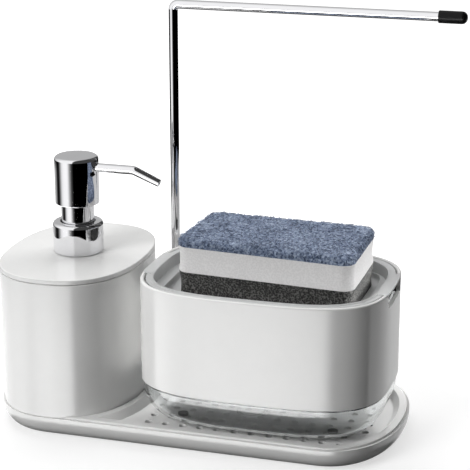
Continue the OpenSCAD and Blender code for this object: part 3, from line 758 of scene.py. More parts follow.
tray = skin("slotted_drip_tray", rounded_rings(base_ring, [
    (lip_edge + SLOPE_W - TRAY_T, tray_low.z, 0),
    (lip_edge - TRAY_T, tray_top - LIP_T, 0),
    (LIP_INSET, tray_top - LIP_T, LIP_UNDER),
    (LIP_INSET, tray_top, LIP_ROUND),
    (lip_edge, tray_top, 0),
]))
well = skin("well", rounded_rings(base_ring, [
    (lip_edge + SLOPE_W + WELL_ROUND, tray_floor, 0),
    (lip_edge + SLOPE_W, tray_floor, WELL_ROUND),
    (lip_edge - slope_fall, tray_top + OVERRUN, 0),
]))
bottle_bank = skin("bottle_bank", rounded_rings(bottle_ring, [
    (-LIP_W - SLOPE_W, tray_floor - OVERRUN, 0),
    (-LIP_W - SLOPE_W, tray_floor, 0),
    (-LIP_W + slope_fall, tray_top + OVERRUN, 0),
]))
combine(well, bottle_bank)
bottle_hole = skin("bottle_hole", [bottle_ring(-BOTTLE_GAP, z) for z in (0, tray_top + OVERRUN)])
combine(tray, well, bottle_hole)
print("tray cut:", len(tray.data.polygons), "faces")

# %% [markdown]
# The drain holes sit on a square grid that is centred on the holder. A hole is left out
# where it would come too near the slope, the bottle or the rail's socket.

# %% Room for a drain hole
DRAIN_D = 4.6 * MM
DRAIN_MARGIN = 2.3 * MM


def drain_fits(x, y):
    """True where a drain hole has floor all round it. x is measured from the holder's middle."""
    edge = lip_edge + SLOPE_W + DRAIN_MARGIN + DRAIN_D / 2
    ring = LIP_W + SLOPE_W + DRAIN_MARGIN + DRAIN_D / 2
    place = Vector((holder_x + x, y, 0))
    past_end = max(0, place.x - base_end_x) / (BASE_END_LEN - edge)
    inside = past_end ** BASE_END_SQUARE + abs(y / (base_half_y - edge)) ** BASE_END_SQUARE < 1
    clear = (abs((place.x - pump_x) / (bottle_half.x + ring)) ** BOTTLE_SQUARE
             + abs(y / (bottle_half.y + ring)) ** BOTTLE_SQUARE > 1)
    return inside and clear and (place - rail_place).length > SOCKET_R + DRAIN_MARGIN + DRAIN_D


print("drain holes are", round(DRAIN_D / MM, 2), "mm wide")

# %% Drain holes
DRAIN_PITCH = 11.4 * MM
DRAIN_POINTS = 24
DRAIN_ROWS = 4
DRAIN_COLUMNS = (-7, 6)
SOCKET_GAP = 0.4 * MM
TRAY_SOFT = 0.3 * MM
drain_points, drain_faces = [], []
drain_count = 0
for column in range(DRAIN_COLUMNS[0], DRAIN_COLUMNS[1] + 1):
    for row in range(-DRAIN_ROWS, DRAIN_ROWS + 1):
        x, y = column * DRAIN_PITCH, row * DRAIN_PITCH
        if not drain_fits(x, y):
            continue
        low = len(drain_points)
        high = low + DRAIN_POINTS
        round_hole = circle(DRAIN_D / 2, DRAIN_POINTS) + [holder_x + x, y]
        drain_points += list(at_height(round_hole, tray_low.z - OVERRUN))
        drain_points += list(at_height(round_hole, tray_floor + OVERRUN))
        drain_faces += band(low, high, DRAIN_POINTS)
        drain_faces.append(tuple(low + i for i in reversed(range(DRAIN_POINTS))))
        drain_faces.append(tuple(high + i for i in range(DRAIN_POINTS)))
        drain_count += 1
combine(tray, mesh_piece("drains", drain_points, drain_faces))
combine(tray, plain_rod("socket_hole", SOCKET_R + SOCKET_GAP, 0, tray_top + OVERRUN, rail_place))
soften(tray, TRAY_SOFT)
place_piece(tray, white_abs, "white_abs", "tray", "drip_tray")
print("drain holes:", drain_count)

# %% [markdown]
# ## Soap bottle
# The bottle is an open oval tub with a drawn-in foot that sits in the base. Its profile
# runs up the outside, over the rim and down the inside, so one skin makes the whole
# wall. The small radius at its lower edge leaves the fine shadow line above the base.

# %% Soap bottle
BOTTLE_WALL = 2.2 * MM
BOTTLE_FLOOR = 2.4 * MM
EDGE_SOFT = 0.5 * MM
FLOOR_SOFT = 2 * MM
foot_inside = BOTTLE_FOOT_INSET + BOTTLE_WALL

bottle = skin("oval_soap_bottle", rounded_rings(bottle_ring, [
    (BOTTLE_FOOT_INSET + FLOOR_SOFT, bottle_low.z, 0),
    (BOTTLE_FOOT_INSET, bottle_low.z, EDGE_SOFT),
    (BOTTLE_FOOT_INSET, BASE_RIM, 0),
    (0, BASE_RIM, EDGE_SOFT),
    (0, bottle_high.z, EDGE_SOFT),
    (BOTTLE_WALL, bottle_high.z, EDGE_SOFT),
    (BOTTLE_WALL, BASE_RIM + BOTTLE_WALL, EDGE_SOFT),
    (foot_inside, BASE_RIM + BOTTLE_WALL, EDGE_SOFT),
    (foot_inside, bottle_low.z + BOTTLE_FLOOR, FLOOR_SOFT),
    (foot_inside + 2 * FLOOR_SOFT, bottle_low.z + BOTTLE_FLOOR, 0),
]))
place_piece(bottle, white_abs, "white_abs", "bottle", "soap_bottle")

# %% [markdown]
# ## Lid
# The lid is a flat plate that matches the bottle's oval, with a plug that goes inside
# and a neck for the pump. A shadow groove half a millimetre high parts it from the
# bottle, which the eye reads as one dark line. The rings change from oval to round on
# the flat top, where the change can't be seen.

# %% Lid
lid_low, lid_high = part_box("bottle_lid")
LID_T = 3 * MM
LID_GAP = 0.5 * MM
PLUG_IN = 3.4 * MM
PLUG_WALL = 2 * MM
GROOVE_INSET = 1.2 * MM
NECK_R = 14 * MM
LID_BORE_R = 9.9 * MM
NECK_SOFT = 0.4 * MM
LID_SOFT = 0.7 * MM
lid_under = bottle_high.z + LID_GAP
lid_top = lid_under + LID_T


def neck_ring(radius, z):
    """A round ring with as many points as the bottle's oval."""
    points = radius * np.column_stack([np.cos(bottle_angles), np.sin(bottle_angles)])
    return at_height(points + [pump_x, 0], z)


lid_rings = rounded_rings(bottle_ring, [
    (PLUG_IN + PLUG_WALL, lid_under, 0),
    (PLUG_IN + PLUG_WALL, lid_low.z, EDGE_SOFT),
    (PLUG_IN, lid_low.z, EDGE_SOFT),
    (PLUG_IN, bottle_high.z, 0),
    (GROOVE_INSET, bottle_high.z, 0),
    (GROOVE_INSET, lid_under, 0),
    (0, lid_under, NECK_SOFT),
    (0, lid_top, LID_SOFT),
    (GROOVE_INSET, lid_top, 0),
])
lid_rings += rounded_rings(neck_ring, [
    (NECK_R, lid_top, 0),
    (NECK_R, lid_high.z, NECK_SOFT),
    (LID_BORE_R, lid_high.z, NECK_SOFT),
    (LID_BORE_R, lid_under, 0),
])
lid = skin("oval_lid", lid_rings, closed=True)
place_piece(lid, white_abs, "white_abs", "lid", "bottle_lid")

# %% [markdown]
# ## Pump collar and neck
# The screw collar is a plated cap with a rounded shoulder and a flat top. A dark ring
# shows between its hole and the neck sleeve that the head slides down over.

# %% Pump collar and neck sleeve
COLLAR_ROUND = 2.4 * MM
COLLAR_WALL = 2.2 * MM
COLLAR_PLATE = 2.6 * MM
COLLAR_HOLE_R = 11.5 * MM
THROAT_R = 10.7 * MM
THROAT_WALL = 0.8 * MM
collar_low, collar_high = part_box("pump_collar")
throat_low, throat_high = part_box("neck_sleeve")
collar_r = (collar_high.x - collar_low.x) / 2
throat_flange_r = (throat_high.x - throat_low.x) / 2
THROAT_FLANGE_T = 1.6 * MM

collar = turned("screw_collar", [
    (collar_r, collar_low.z, EDGE_SOFT),
    (collar_r, collar_high.z, COLLAR_ROUND),
    (COLLAR_HOLE_R, collar_high.z, EDGE_SOFT),
    (COLLAR_HOLE_R, collar_high.z - COLLAR_PLATE, EDGE_SOFT),
    (collar_r - COLLAR_WALL, collar_high.z - COLLAR_PLATE, EDGE_SOFT),
    (collar_r - COLLAR_WALL, collar_low.z, EDGE_SOFT),
], pump_axis)
place_piece(collar, chrome, "chrome", "collar", "pump_collar")

throat = turned("chromed_neck_sleeve", [
    (throat_flange_r, throat_low.z, NECK_SOFT),
    (throat_flange_r, throat_low.z + THROAT_FLANGE_T, NECK_SOFT),
    (THROAT_R, throat_low.z + THROAT_FLANGE_T, NECK_SOFT),
    (THROAT_R, throat_high.z, NECK_SOFT),
    (THROAT_R - THROAT_WALL, throat_high.z, NECK_SOFT),
    (THROAT_R - THROAT_WALL, throat_low.z, NECK_SOFT),
], pump_axis)
place_piece(throat, chrome, "chrome", "pump", "neck_sleeve")

# %% [markdown]
# ## Pump head
# The head is a plated shell, open below, with a faintly domed top and a rounded edge.
# The rounded edge gives the bright line round the top. The spout comes out through a
# hole in its side.

# %% Pump head
HEAD_WALL = 1 * MM
HEAD_ROUND = 2.3 * MM
HEAD_DOME = 0.35 * MM
head_low, head_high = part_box("pump_head")
head_r = (head_high.x - head_low.x) / 2
head_inside = head_r - HEAD_WALL
SPOUT_R = 2.9 * MM
spout_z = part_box("spout_tube")[1].z - SPOUT_R

head = turned("pump_head_shell", [
    (0, head_high.z, 0),
    (head_r / 2, head_high.z - HEAD_DOME / 4, 0),
    (head_r, head_high.z - HEAD_DOME, HEAD_ROUND),
    (head_r, head_low.z, NECK_SOFT),
    (head_inside, head_low.z, NECK_SOFT),
    (head_inside, head_high.z - 2 * HEAD_WALL, 0),
    (head_inside - HEAD_WALL, head_high.z - HEAD_DOME - HEAD_WALL, 0),
    (0, head_high.z - HEAD_DOME - HEAD_WALL, 0),
], pump_axis, closed=False)
spout_hole = skin("spout_hole", rings_along(
    [(x, 0, spout_z) for x in (pump_x, pump_x + head_r + OVERRUN)], [SPOUT_R + RUN_GAP] * 2, TURN_POINTS))
combine(head, spout_hole)
place_piece(head, chrome, "chrome", "head", "pump_head")

# %% [markdown]
# ## Spout
# The spout is a thin tube that runs straight out of the head, bends down and narrows a
# little towards its tip. Its wall turns in over the tip, and the bore goes right
# through, as on the real tube.

# %% Spout
SPOUT_TIP_R = 2.5 * MM
SPOUT_BORE_R = 1.5 * MM
SPOUT_STRAIGHT = 39.4 * MM
SPOUT_DROP = 19 * MM
SPOUT_BEND = math.radians(23)
SPOUT_BEND_R = 7 * MM
TIP_SOFT = 0.25 * MM
SPOUT_START = 10.2 * MM
SPOUT_POINTS = 48
BEND_STEPS = 12
DROP_STEPS = 6
bend_run = SPOUT_BEND_R * math.tan(SPOUT_BEND / 2)
bend_start = pump_x + SPOUT_STRAIGHT - bend_run

spout_path = [(pump_x + SPOUT_START, 0, spout_z)]
for angle in np.linspace(0, SPOUT_BEND, BEND_STEPS):
    spout_path.append((
        bend_start + SPOUT_BEND_R * math.sin(angle), 0,
        spout_z - SPOUT_BEND_R * (1 - math.cos(angle))))
drop = np.array([math.cos(SPOUT_BEND), 0, -math.sin(SPOUT_BEND)])
for share in np.linspace(0, 1, DROP_STEPS)[1:]:
    spout_path.append(tuple(np.array(spout_path[BEND_STEPS]) + drop * share * (SPOUT_DROP - bend_run)))
spout_radii = [SPOUT_R] * (1 + BEND_STEPS) + list(np.linspace(SPOUT_R, SPOUT_TIP_R, DROP_STEPS)[1:])
outer = rings_along(spout_path, spout_radii, SPOUT_POINTS)
inner = rings_along(spout_path, [SPOUT_BORE_R] * len(spout_path), SPOUT_POINTS)
spout_end = np.array(spout_path[-1])
rim = rings_along(
    [spout_end, spout_end + drop * TIP_SOFT], [SPOUT_TIP_R, SPOUT_TIP_R - TIP_SOFT], SPOUT_POINTS)[1]
outer[-1] = outer[-1] - drop * TIP_SOFT
spout = skin("swept_spout", [*outer, rim - drop * TIP_SOFT, *inner[::-1]], closed=True)
place_piece(spout, chrome, "chrome", "head", "spout_tube")

# %% [markdown]
# ## Clear cup
# The cup hangs inside the white sleeve and shows only as the clear foot below it. The
# foot has a strongly rounded lower edge and an even wall, so that the tray shows through
# it hardly bent. Two shallow rings stand under its floor, where the moulding's feed and
# a stacking ring would be.

# %% Clear cup
CUP_STEP = 1 * MM
CUP_ROUND_X = 14 * MM
CUP_ROUND_Z = 22 * MM
CUP_IN = 2.6 * MM
CUP_WALL = 1.7 * MM
CUP_FLOOR = 13.1 * MM
CUP_STEPS = 22
CUP_LEDGE_RISE = 0.3 * MM
cup_ledge = sleeve_low.z - CUP_WALL


def cup_foot(wall):
    """The rings of the cup's foot at a wall thickness, from the floor up."""
    foot = tub_foot(CUP_STEP, CUP_FLOOR, CUP_ROUND_X, CUP_ROUND_Z, wall, CUP_STEPS)
    return [holder_ring(x, z) for x, z in foot]


cup_rings = cup_foot(0)
cup_rings += rounded_rings(holder_ring, [
    (CUP_STEP, CUP_FLOOR + CUP_ROUND_Z, 0),
    (CUP_STEP, sleeve_low.z, NECK_SOFT),
    (CUP_IN, sleeve_low.z, 0),
    (CUP_IN, cup_rim, NECK_SOFT),
    (CUP_IN + CUP_WALL, cup_rim, NECK_SOFT),
    (CUP_IN + CUP_WALL, cup_ledge + CUP_LEDGE_RISE, 0),
    (CUP_STEP + CUP_WALL, cup_ledge, 0),
])[1:]
cup_rings += reversed(cup_foot(CUP_WALL))
cup = skin("clear_cup_shell", cup_rings)
print("cup skin:", len(cup.data.polygons), "faces")

# %% Rings under the cup
CUP_RINGS = ((-8 * MM, -16 * MM, 9.5 * MM), (8.5 * MM, -13 * MM, 6.5 * MM))
CUP_RING_WALL = 1.4 * MM
CUP_RING_H = 1.2 * MM

for ring_x, ring_y, ring_r in CUP_RINGS:
    ring_place = Vector((holder_x + ring_x, ring_y, 0))
    stand = turned("stand", [
        (ring_r - CUP_RING_WALL, CUP_FLOOR - CUP_RING_H, NECK_SOFT),
        (ring_r, CUP_FLOOR - CUP_RING_H, NECK_SOFT),
        (ring_r, CUP_FLOOR + CUP_WALL / 2, 0),
        (ring_r - CUP_RING_WALL, CUP_FLOOR + CUP_WALL / 2, 0),
    ], ring_place)
    combine(cup, stand, how="UNION")
print("cup with its rings:", len(cup.data.polygons), "faces")

# %% [markdown]
# ## Finger notches and sleeve
# Both ends of the cup and the sleeve have a notch, so that a finger can lift the
# drainer out by its lug. The white sleeve is an open band with a thin rounded rim; the
# lugs drop into a shallow slot in each end of it.

# %% Notches in the cup
NOTCH_HALF = 19.5 * MM
NOTCH_DEPTH = 10 * MM
NOTCH_R = 3.5 * MM
NOTCH_STEPS = 8
CUP_SOFT = 0.25 * MM
CUT_ANGLE = math.radians(60)


def end_cutter(name, half_width, low, radius, reach):
    """A bar across one or both ends of the holder, with rounded lower corners."""
    outline = [(half_width, sleeve_high.z + OVERRUN)]
    for side, first in ((1, 0), (-1, -QUARTER)):
        for t in np.linspace(first, first - QUARTER, NOTCH_STEPS):
            outline.append((
                side * (half_width - radius) + radius * math.cos(t),
                low + radius + radius * math.sin(t)))
    outline.append((-half_width, sleeve_high.z + OVERRUN))
    return skin(name, [[(x, y, z) for y, z in outline] for x in reach])


def notch_cutters(depth_in):
    """The pair of finger notches, cut in as far as a depth."""
    low = sleeve_high.z - NOTCH_DEPTH
    left = (sleeve_low.x - OVERRUN, sleeve_low.x + depth_in)
    right = (sleeve_high.x - depth_in, sleeve_high.x + OVERRUN)
    return [end_cutter("notch", NOTCH_HALF, low, NOTCH_R, reach) for reach in (left, right)]


combine(cup, *notch_cutters(CUP_IN + CUP_WALL + OVERRUN))
soften(cup, CUP_SOFT, CUT_ANGLE)
place_piece(cup, clear_san, "clear_plastic", "holder", "clear_cup")

# %% White sleeve
SLEEVE_WALL = 2.4 * MM
SLEEVE_RIM = 1.15 * MM
LUG_HALF = 21.5 * MM
LUG_GAP = 0.3 * MM
NOTCH_SOFT = 0.35 * MM

sleeve = skin("white_sleeve", rounded_rings(holder_ring, [
    (0, sleeve_low.z, EDGE_SOFT),
    (0, sleeve_high.z, SLEEVE_RIM),
    (SLEEVE_WALL, sleeve_high.z, SLEEVE_RIM),
    (SLEEVE_WALL, sleeve_low.z, EDGE_SOFT),
], closed=True), closed=True)
combine(sleeve, *notch_cutters(SLEEVE_WALL + 2 * OVERRUN))
combine(sleeve, end_cutter(
    "lug_slot", LUG_HALF + LUG_GAP, cup_rim, RUN_GAP,
    (sleeve_low.x - OVERRUN, sleeve_high.x + OVERRUN)))
soften(sleeve, NOTCH_SOFT, CUT_ANGLE)
place_piece(sleeve, white_abs, "white_abs", "holder", "holder_sleeve")

# %% [markdown]
# ## Drainer
# The frosted drainer hangs on the cup's rim by its flange and two lugs. Inside, a wall
# drops to a ledge, and a deeper basket with slots in its floor holds the sponge. One
# skin makes the flange, the wall, the ledge and the floor; the lugs are joined to it
# and the slots are cut out.

# %% Basket outline
BASKET_IN = 8 * MM
BASKET_END = 15.6 * MM
BASKET_SQUARE = 5


def basket_ring(inset, z):
    """The deep basket's outline: the drainer's oval with its ends cut short."""
    half_y = holder_half.y - BASKET_IN - inset
    wall = oval(holder_half.x - BASKET_IN - inset, half_y, HOLDER_SQUARE, holder_angles)
    ends = oval(holder_half.x - BASKET_END - inset, half_y, BASKET_SQUARE, holder_angles)
    nearer = np.linalg.norm(wall, axis=1) < np.linalg.norm(ends, axis=1)
    return at_height(np.where(nearer[:, None], wall, ends) + [holder_x, 0], z)


print("basket is", round(np.ptp(basket_ring(0, 0)[:, 0]) / MM, 1), "mm long inside")

# %% Drainer
FLANGE_IN = 3.3 * MM
BASKET_WALL = 1.5 * MM
LEDGE_DEPTH = 8 * MM
BASKET_DEPTH = 12.5 * MM
FLANGE_SOFT = 0.35 * MM
RIDGE_W = 1.7 * MM
RIDGE_H = 0.35 * MM
RIDGE_SOFT = 0.15 * MM
BASKET_SOFT = 1.2 * MM
FLOOR_IN = 4 * MM
drainer_low, drainer_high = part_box("sponge_drainer")
ledge_z = drainer_high.z - LEDGE_DEPTH
basket_floor = drainer_high.z - BASKET_DEPTH

drainer_rings = rounded_rings(basket_ring, [
    (-BASKET_WALL + FLOOR_IN, drainer_low.z, 0),
    (-BASKET_WALL, drainer_low.z, BASKET_SOFT),
    (-BASKET_WALL, ledge_z - BASKET_WALL, 0),
])
drainer_rings += rounded_rings(holder_ring, [
    (BASKET_IN - BASKET_WALL, ledge_z - BASKET_WALL, 0),
    (BASKET_IN - BASKET_WALL, cup_rim, 0),
    (FLANGE_IN, cup_rim, NECK_SOFT),
    (FLANGE_IN, drainer_high.z - RIDGE_H, FLANGE_SOFT),
    (BASKET_IN - RIDGE_W, drainer_high.z - RIDGE_H, RIDGE_SOFT),
    (BASKET_IN - RIDGE_W, drainer_high.z, RIDGE_SOFT),
    (BASKET_IN, drainer_high.z, FLANGE_SOFT),
    (BASKET_IN, ledge_z, EDGE_SOFT),
    (BASKET_IN + EDGE_SOFT, ledge_z, 0),
])
drainer_rings += rounded_rings(basket_ring, [
    (-EDGE_SOFT, ledge_z, 0),
    (0, ledge_z, EDGE_SOFT),
    (0, basket_floor, BASKET_SOFT),
    (FLOOR_IN, basket_floor, 0),
])
drainer = skin("frosted_drainer", drainer_rings)
print("drainer skin:", len(drainer.data.polygons), "faces")

# %% [markdown]
# The lugs are flat tongues at both ends, in line with the flange. Each follows the
# sleeve's curve on its outer side. The slots in the floor are stadium shaped.

# %% Lugs
LUG_INSET = 0.2 * MM
LUG_ROOT = 7 * MM
LUG_POINTS = 40


def lug_block(side):
    """A tongue between the flange and the sleeve's face, at one end."""
    y = np.linspace(-LUG_HALF, LUG_HALF, LUG_POINTS)
    half_x = holder_half.x - LUG_INSET
    half_y = holder_half.y - LUG_INSET
    outer_x = half_x * (1 - np.abs(y / half_y) ** HOLDER_SQUARE) ** (1 / HOLDER_SQUARE)
    outer_edge = np.column_stack([holder_x + side * outer_x, y])
    root_x = np.full(LUG_POINTS, holder_x + side * (holder_half.x - LUG_ROOT))
    outline = np.concatenate([outer_edge, np.column_stack([root_x, y])[::-1]])
    return skin("lug", [at_height(outline, cup_rim + RUN_GAP), at_height(outline, drainer_high.z)])


combine(drainer, lug_block(-1), lug_block(1), how="UNION")
print("with its lugs:", len(drainer.data.polygons), "faces")

# %% Slots
SLOT_LEN = 34 * MM
SLOT_W = 4 * MM
SLOT_PITCH = 12 * MM
SLOTS_EACH_SIDE = 4
SLOT_STEPS = 10
DRAINER_SOFT = 0.3 * MM


def slot_cutter(x, y):
    """A stadium-shaped cutter through the basket's floor."""
    reach = (SLOT_LEN - SLOT_W) / 2
    outline = []
    for side, first in ((1, 0), (-1, math.pi)):
        for t in np.linspace(first, first + math.pi, SLOT_STEPS):
            outline.append((x + SLOT_W / 2 * math.cos(t), y + side * reach + SLOT_W / 2 * math.sin(t)))
    outline = np.array(outline)
    return skin("slot", [
        at_height(outline, drainer_low.z - OVERRUN), at_height(outline, basket_floor + OVERRUN)])


for i in range(-SLOTS_EACH_SIDE, SLOTS_EACH_SIDE + 1):
    for side in (-1, 1):
        combine(drainer, slot_cutter(holder_x + i * SLOT_PITCH, side * (SLOT_LEN + SLOT_PITCH) / 2))
soften(drainer, DRAINER_SOFT, CUT_ANGLE)
place_piece(drainer, frosted_san, "frosted_plastic", "drainer", "sponge_drainer")

# %% [markdown]
# ## Sponge outline
# The sponge is a hand-cut block: wider at its right end, leaning a little at the back
# left, with rounded upright corners. Its outline is four corners with arcs, spread to
# even points, so that all three layers share it.

# %% Sponge outline
SPONGE_X = 2 * MM
SPONGE_HALF_LEN = 58.5 * MM
SPONGE_LEFT = (7.7 * MM, 32.3 * MM)
SPONGE_RIGHT = (0.8 * MM, 34.3 * MM)
SPONGE_LEAN = 5 * MM
SPONGE_CORNER_R = 8 * MM
SPONGE_POINTS = 300
CORNER_TURNS = 12
sponge_x = holder_x + SPONGE_X
(left_mid, left_half), (right_mid, right_half) = SPONGE_LEFT, SPONGE_RIGHT
sponge_corners = [
    Vector((sponge_x - SPONGE_HALF_LEN, left_mid - left_half)),
    Vector((sponge_x + SPONGE_HALF_LEN, right_mid - right_half)),
    Vector((sponge_x + SPONGE_HALF_LEN, right_mid + right_half)),
    Vector((sponge_x - SPONGE_HALF_LEN + SPONGE_LEAN, left_mid + left_half)),
]
sponge_middle = np.array([sponge_x, (left_mid + right_mid) / 2])


def sponge_outline():
    """The block's outline with rounded corners, as evenly spaced points."""
    points = []
    for i, corner in enumerate(sponge_corners):
        before = (sponge_corners[i - 1] - corner).normalized()
        after = (sponge_corners[(i + 1) % 4] - corner).normalized()
        half = before.angle(after) / 2
        middle = corner + (before + after).normalized() * SPONGE_CORNER_R / math.sin(half)
        start = corner + before * SPONGE_CORNER_R / math.tan(half) - middle
        end = corner + after * SPONGE_CORNER_R / math.tan(half) - middle
        first = math.atan2(start.y, start.x)
        turn = (math.atan2(end.y, end.x) - first) % math.tau
        for k in range(CORNER_TURNS + 1):
            t = first + turn * k / CORNER_TURNS
            points.append((
                middle.x + SPONGE_CORNER_R * math.cos(t), middle.y + SPONGE_CORNER_R * math.sin(t)))
    points = np.array([*points, points[0]])
    run = np.concatenate([[0], np.cumsum(np.linalg.norm(np.diff(points, axis=0), axis=1))])
    even = np.linspace(0, run[-1], SPONGE_POINTS + 1)[:-1]
    return np.column_stack([np.interp(even, run, points[:, 0]), np.interp(even, run, points[:, 1])])


sponge_edge = sponge_outline()
edge_run = np.roll(sponge_edge, -1, axis=0) - np.roll(sponge_edge, 1, axis=0)
edge_run /= np.linalg.norm(edge_run, axis=1)[:, None]
edge_out = np.column_stack([edge_run[:, 1], -edge_run[:, 0]])
print("sponge outline is", np.round(np.ptp(sponge_edge, axis=0) / MM, 1), "mm")

# %% [markdown]
# ## Foam layers
# A foam block is soft, so nothing on it is quite straight: its sides draw in between
# the glued faces, its edges are a little ragged, and its top sags where it was pressed.
# Cloth simulation suits a stuffed cushion, but this foam is cut, not filled, so the
# form is made directly: rings for the sides, shrinking rings for the faces, then every
# point is moved by smooth noise a few tenths of a millimetre deep.

# %% Sag of the block
SAG = {"front_left": 0.3 * MM, "front_right": 0.7 * MM}


def sag(x, y):
    """How far the block's top has sunk at a place: most at its front right corner."""
    right = np.clip((x - sponge_x) / (2 * SPONGE_HALF_LEN) + 0.5, 0, 1)
    front = np.clip(0.5 - (y - sponge_middle[1]) / (2 * right_half), 0, 1)
    return front * (SAG["front_left"] * (1 - right) + SAG["front_right"] * right)


print("the front right corner sags by", SAG["front_right"] / MM, "mm")

# %% Layer helper
RING_GAP = 1.3 * MM
INNER_RINGS = 24
LUMP_GRAINS = 8


def sponge_layer(name, low, high, draw_low, draw_mid, soft_low, soft_high, rough, grain):
    """A layer with drawn-in sides, soft edges and an uneven surface."""
    profile = []
    for t in np.linspace(0, QUARTER, ARC_STEPS):
        profile.append((soft_low * (1 - math.sin(t)), low + soft_low * (1 - math.cos(t))))
    for z in np.arange(low + soft_low + RING_GAP, high - soft_high, RING_GAP):
        profile.append((0, z))
    for t in np.linspace(0, QUARTER, ARC_STEPS):
        profile.append((soft_high * (1 - math.cos(t)), high - soft_high * (1 - math.sin(t))))
    rings = []
    for inset, z in profile:
        share = (z - low) / (high - low)
        drawn = inset + draw_low * (1 - share) + draw_mid * math.sin(math.pi * share)
        rings.append(at_height(sponge_edge - edge_out * drawn, z))
    last = rings[-1]
    for k in range(1, INNER_RINGS + 1):
        share = 1 - k / (INNER_RINGS + 1)
        rings.append(at_height(sponge_middle + (last[:, :2] - sponge_middle) * share, high))
    piece = skin(name, rings)
    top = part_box("scouring_pad")[1].z
    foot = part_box("grey_foam")[0].z
    for vertex in piece.data.vertices:
        place = vertex.co.copy()
        normal = vertex.normal
        lump = noise.noise(place / (LUMP_GRAINS * grain)) * rough
        pit = (noise.noise(place / grain) - 1) * rough / 2
        shift = normal * (lump + pit - rough / 2)
        if place.z < low + RUN_GAP:
            shift = Vector((shift.x, shift.y, 0))
        vertex.co = place + shift
        vertex.co.z -= sag(place.x, place.y) * (place.z - foot) / (top - foot)
    return piece


grey_low, grey_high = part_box("grey_foam")
white_low, white_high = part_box("white_foam")
pad_low, pad_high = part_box("scouring_pad")
print("layers in mm:", [round((b.z - a.z) / MM, 1) for a, b in (
    (grey_low, grey_high), (white_low, white_high), (pad_low, pad_high))])

# %% Foam layers
FOAM_DRAW = 0.8 * MM
FOAM_SOFT = 0.8 * MM
FOAM_ROUGH = 0.14 * MM
FOAM_GRAIN = 1.6 * MM

grey_foam_piece = sponge_layer(
    "grey_foam_block", grey_low.z, grey_high.z, FOAM_DRAW, FOAM_DRAW, FOAM_SOFT, FOAM_SOFT / 2,
    FOAM_ROUGH, FOAM_GRAIN)
white_foam_piece = sponge_layer(
    "white_foam_block", white_low.z, white_high.z, 0, FOAM_DRAW, FOAM_SOFT / 2, FOAM_SOFT / 2,
    FOAM_ROUGH, FOAM_GRAIN)
for piece, finish, slot in (
        (grey_foam_piece, grey_foam_finish, "grey_foam"),
        (white_foam_piece, white_foam_finish, "white_foam")):
    place_piece(piece, finish, slot, "sponge", slot)

# %% [markdown]
# ## Scouring pad
# The pad is non-woven nylon: a flat mat whose surface is a tangle. The mat itself is
# made like the foam, but rougher. Real fibres are about a tenth of a millimetre thick;
# a few thousand short curved ones, drawn three times as thick, lie on the mat so that
# its outline is slightly hairy and its surface catches light unevenly.

# %% Scouring mat
MAT_ROUND = 4 * MM
MAT_FOOT_SOFT = 0.3 * MM
MAT_ROUGH = 0.3 * MM
MAT_GRAIN = 1.5 * MM
FIBRE_ROOM = 0.35 * MM

mat = sponge_layer(
    "scouring_mat", pad_low.z, pad_high.z - FIBRE_ROOM, 0, 0, MAT_FOOT_SOFT, MAT_ROUND,
    MAT_ROUGH, MAT_GRAIN)
print("mat:", len(mat.data.polygons), "faces")

# %% One fibre
FIBRE_R = 0.15 * MM
FIBRE_SIDES = 3
FIBRE_STEPS = 4
FIBRE_HUMP = 2


def fibre(start, normal, length, turn, curl):
    """A short bent strand that lies on the surface, as points of a three-sided tube."""
    side = normal.orthogonal()
    side.rotate(Matrix.Rotation(turn, 3, normal))
    points = []
    place = start.copy()
    for k in range(FIBRE_STEPS):
        share = k / (FIBRE_STEPS - 1)
        run = side.copy()
        run.rotate(Matrix.Rotation(curl * (share - 0.5), 3, normal))
        across = normal.cross(run)
        lift = normal * (FIBRE_R * (1 + FIBRE_HUMP * math.sin(math.pi * share)))
        for m in range(FIBRE_SIDES):
            t = math.tau * m / FIBRE_SIDES
            points.append(place + lift + (across * math.cos(t) + normal * math.sin(t)) * FIBRE_R)
        place = place + run * (length / (FIBRE_STEPS - 1))
    return points


print("fibres are", round(2 * FIBRE_R / MM, 2), "mm thick")

# %% Fibres on the mat
FIBRE_COUNT = 5200
FIBRE_LEN = (1.2 * MM, 3.4 * MM)
FIBRE_CURL = 1.6
FIBRE_EDGE = 0.6 * MM
FIBRE_SEED = 11
rng = np.random.default_rng(FIBRE_SEED)

mat.data.update()
roots = [p for p in mat.data.polygons if p.center.z > pad_low.z + FIBRE_EDGE]
areas = np.array([p.area for p in roots])
picks = rng.choice(len(roots), FIBRE_COUNT, p=areas / areas.sum())
fibre_points, fibre_faces = [], []
for pick in picks:
    root = roots[pick]
    first = len(fibre_points)
    fibre_points += fibre(
        root.center, root.normal.normalized(), rng.uniform(*FIBRE_LEN),
        rng.uniform(0, math.tau), rng.uniform(-FIBRE_CURL, FIBRE_CURL))
    for k in range(FIBRE_STEPS - 1):
        low = first + k * FIBRE_SIDES
        fibre_faces += band(low, low + FIBRE_SIDES, FIBRE_SIDES)
fibre_points = np.clip(np.array(fibre_points), pad_low, pad_high)
strands = mesh_piece("scouring_strands", fibre_points, fibre_faces)
place_piece(mat, blue_nylon, "blue_scourer", "sponge", "scouring_pad")
place_piece(strands, blue_nylon, "blue_scourer", "sponge", "scouring_pad")
print("strands:", FIBRE_COUNT)

# %% [markdown]
# ## Cloth rail and its cap
# The rail is one length of 6 mm wire, bent once and plated. A ring is carried up the
# post, round a tight bend and along the arm. The rubber cap is turned: a plain sleeve
# with a rounded end, pushed over the arm.

# %% Cloth rail
RAIL_H = 263.8 * MM
RAIL_BEND_R = 3.6 * MM
RAIL_POINTS = 48
RAIL_BEND_STEPS = 16
CAP_LEN = 18.2 * MM
CAP_BORE = 15 * MM
CAP_ROUND = 3.5 * MM
RAIL_SOFT = 0.4 * MM
cap_low, cap_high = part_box("rail_cap")
cap_r = (cap_high.y - cap_low.y) / 2

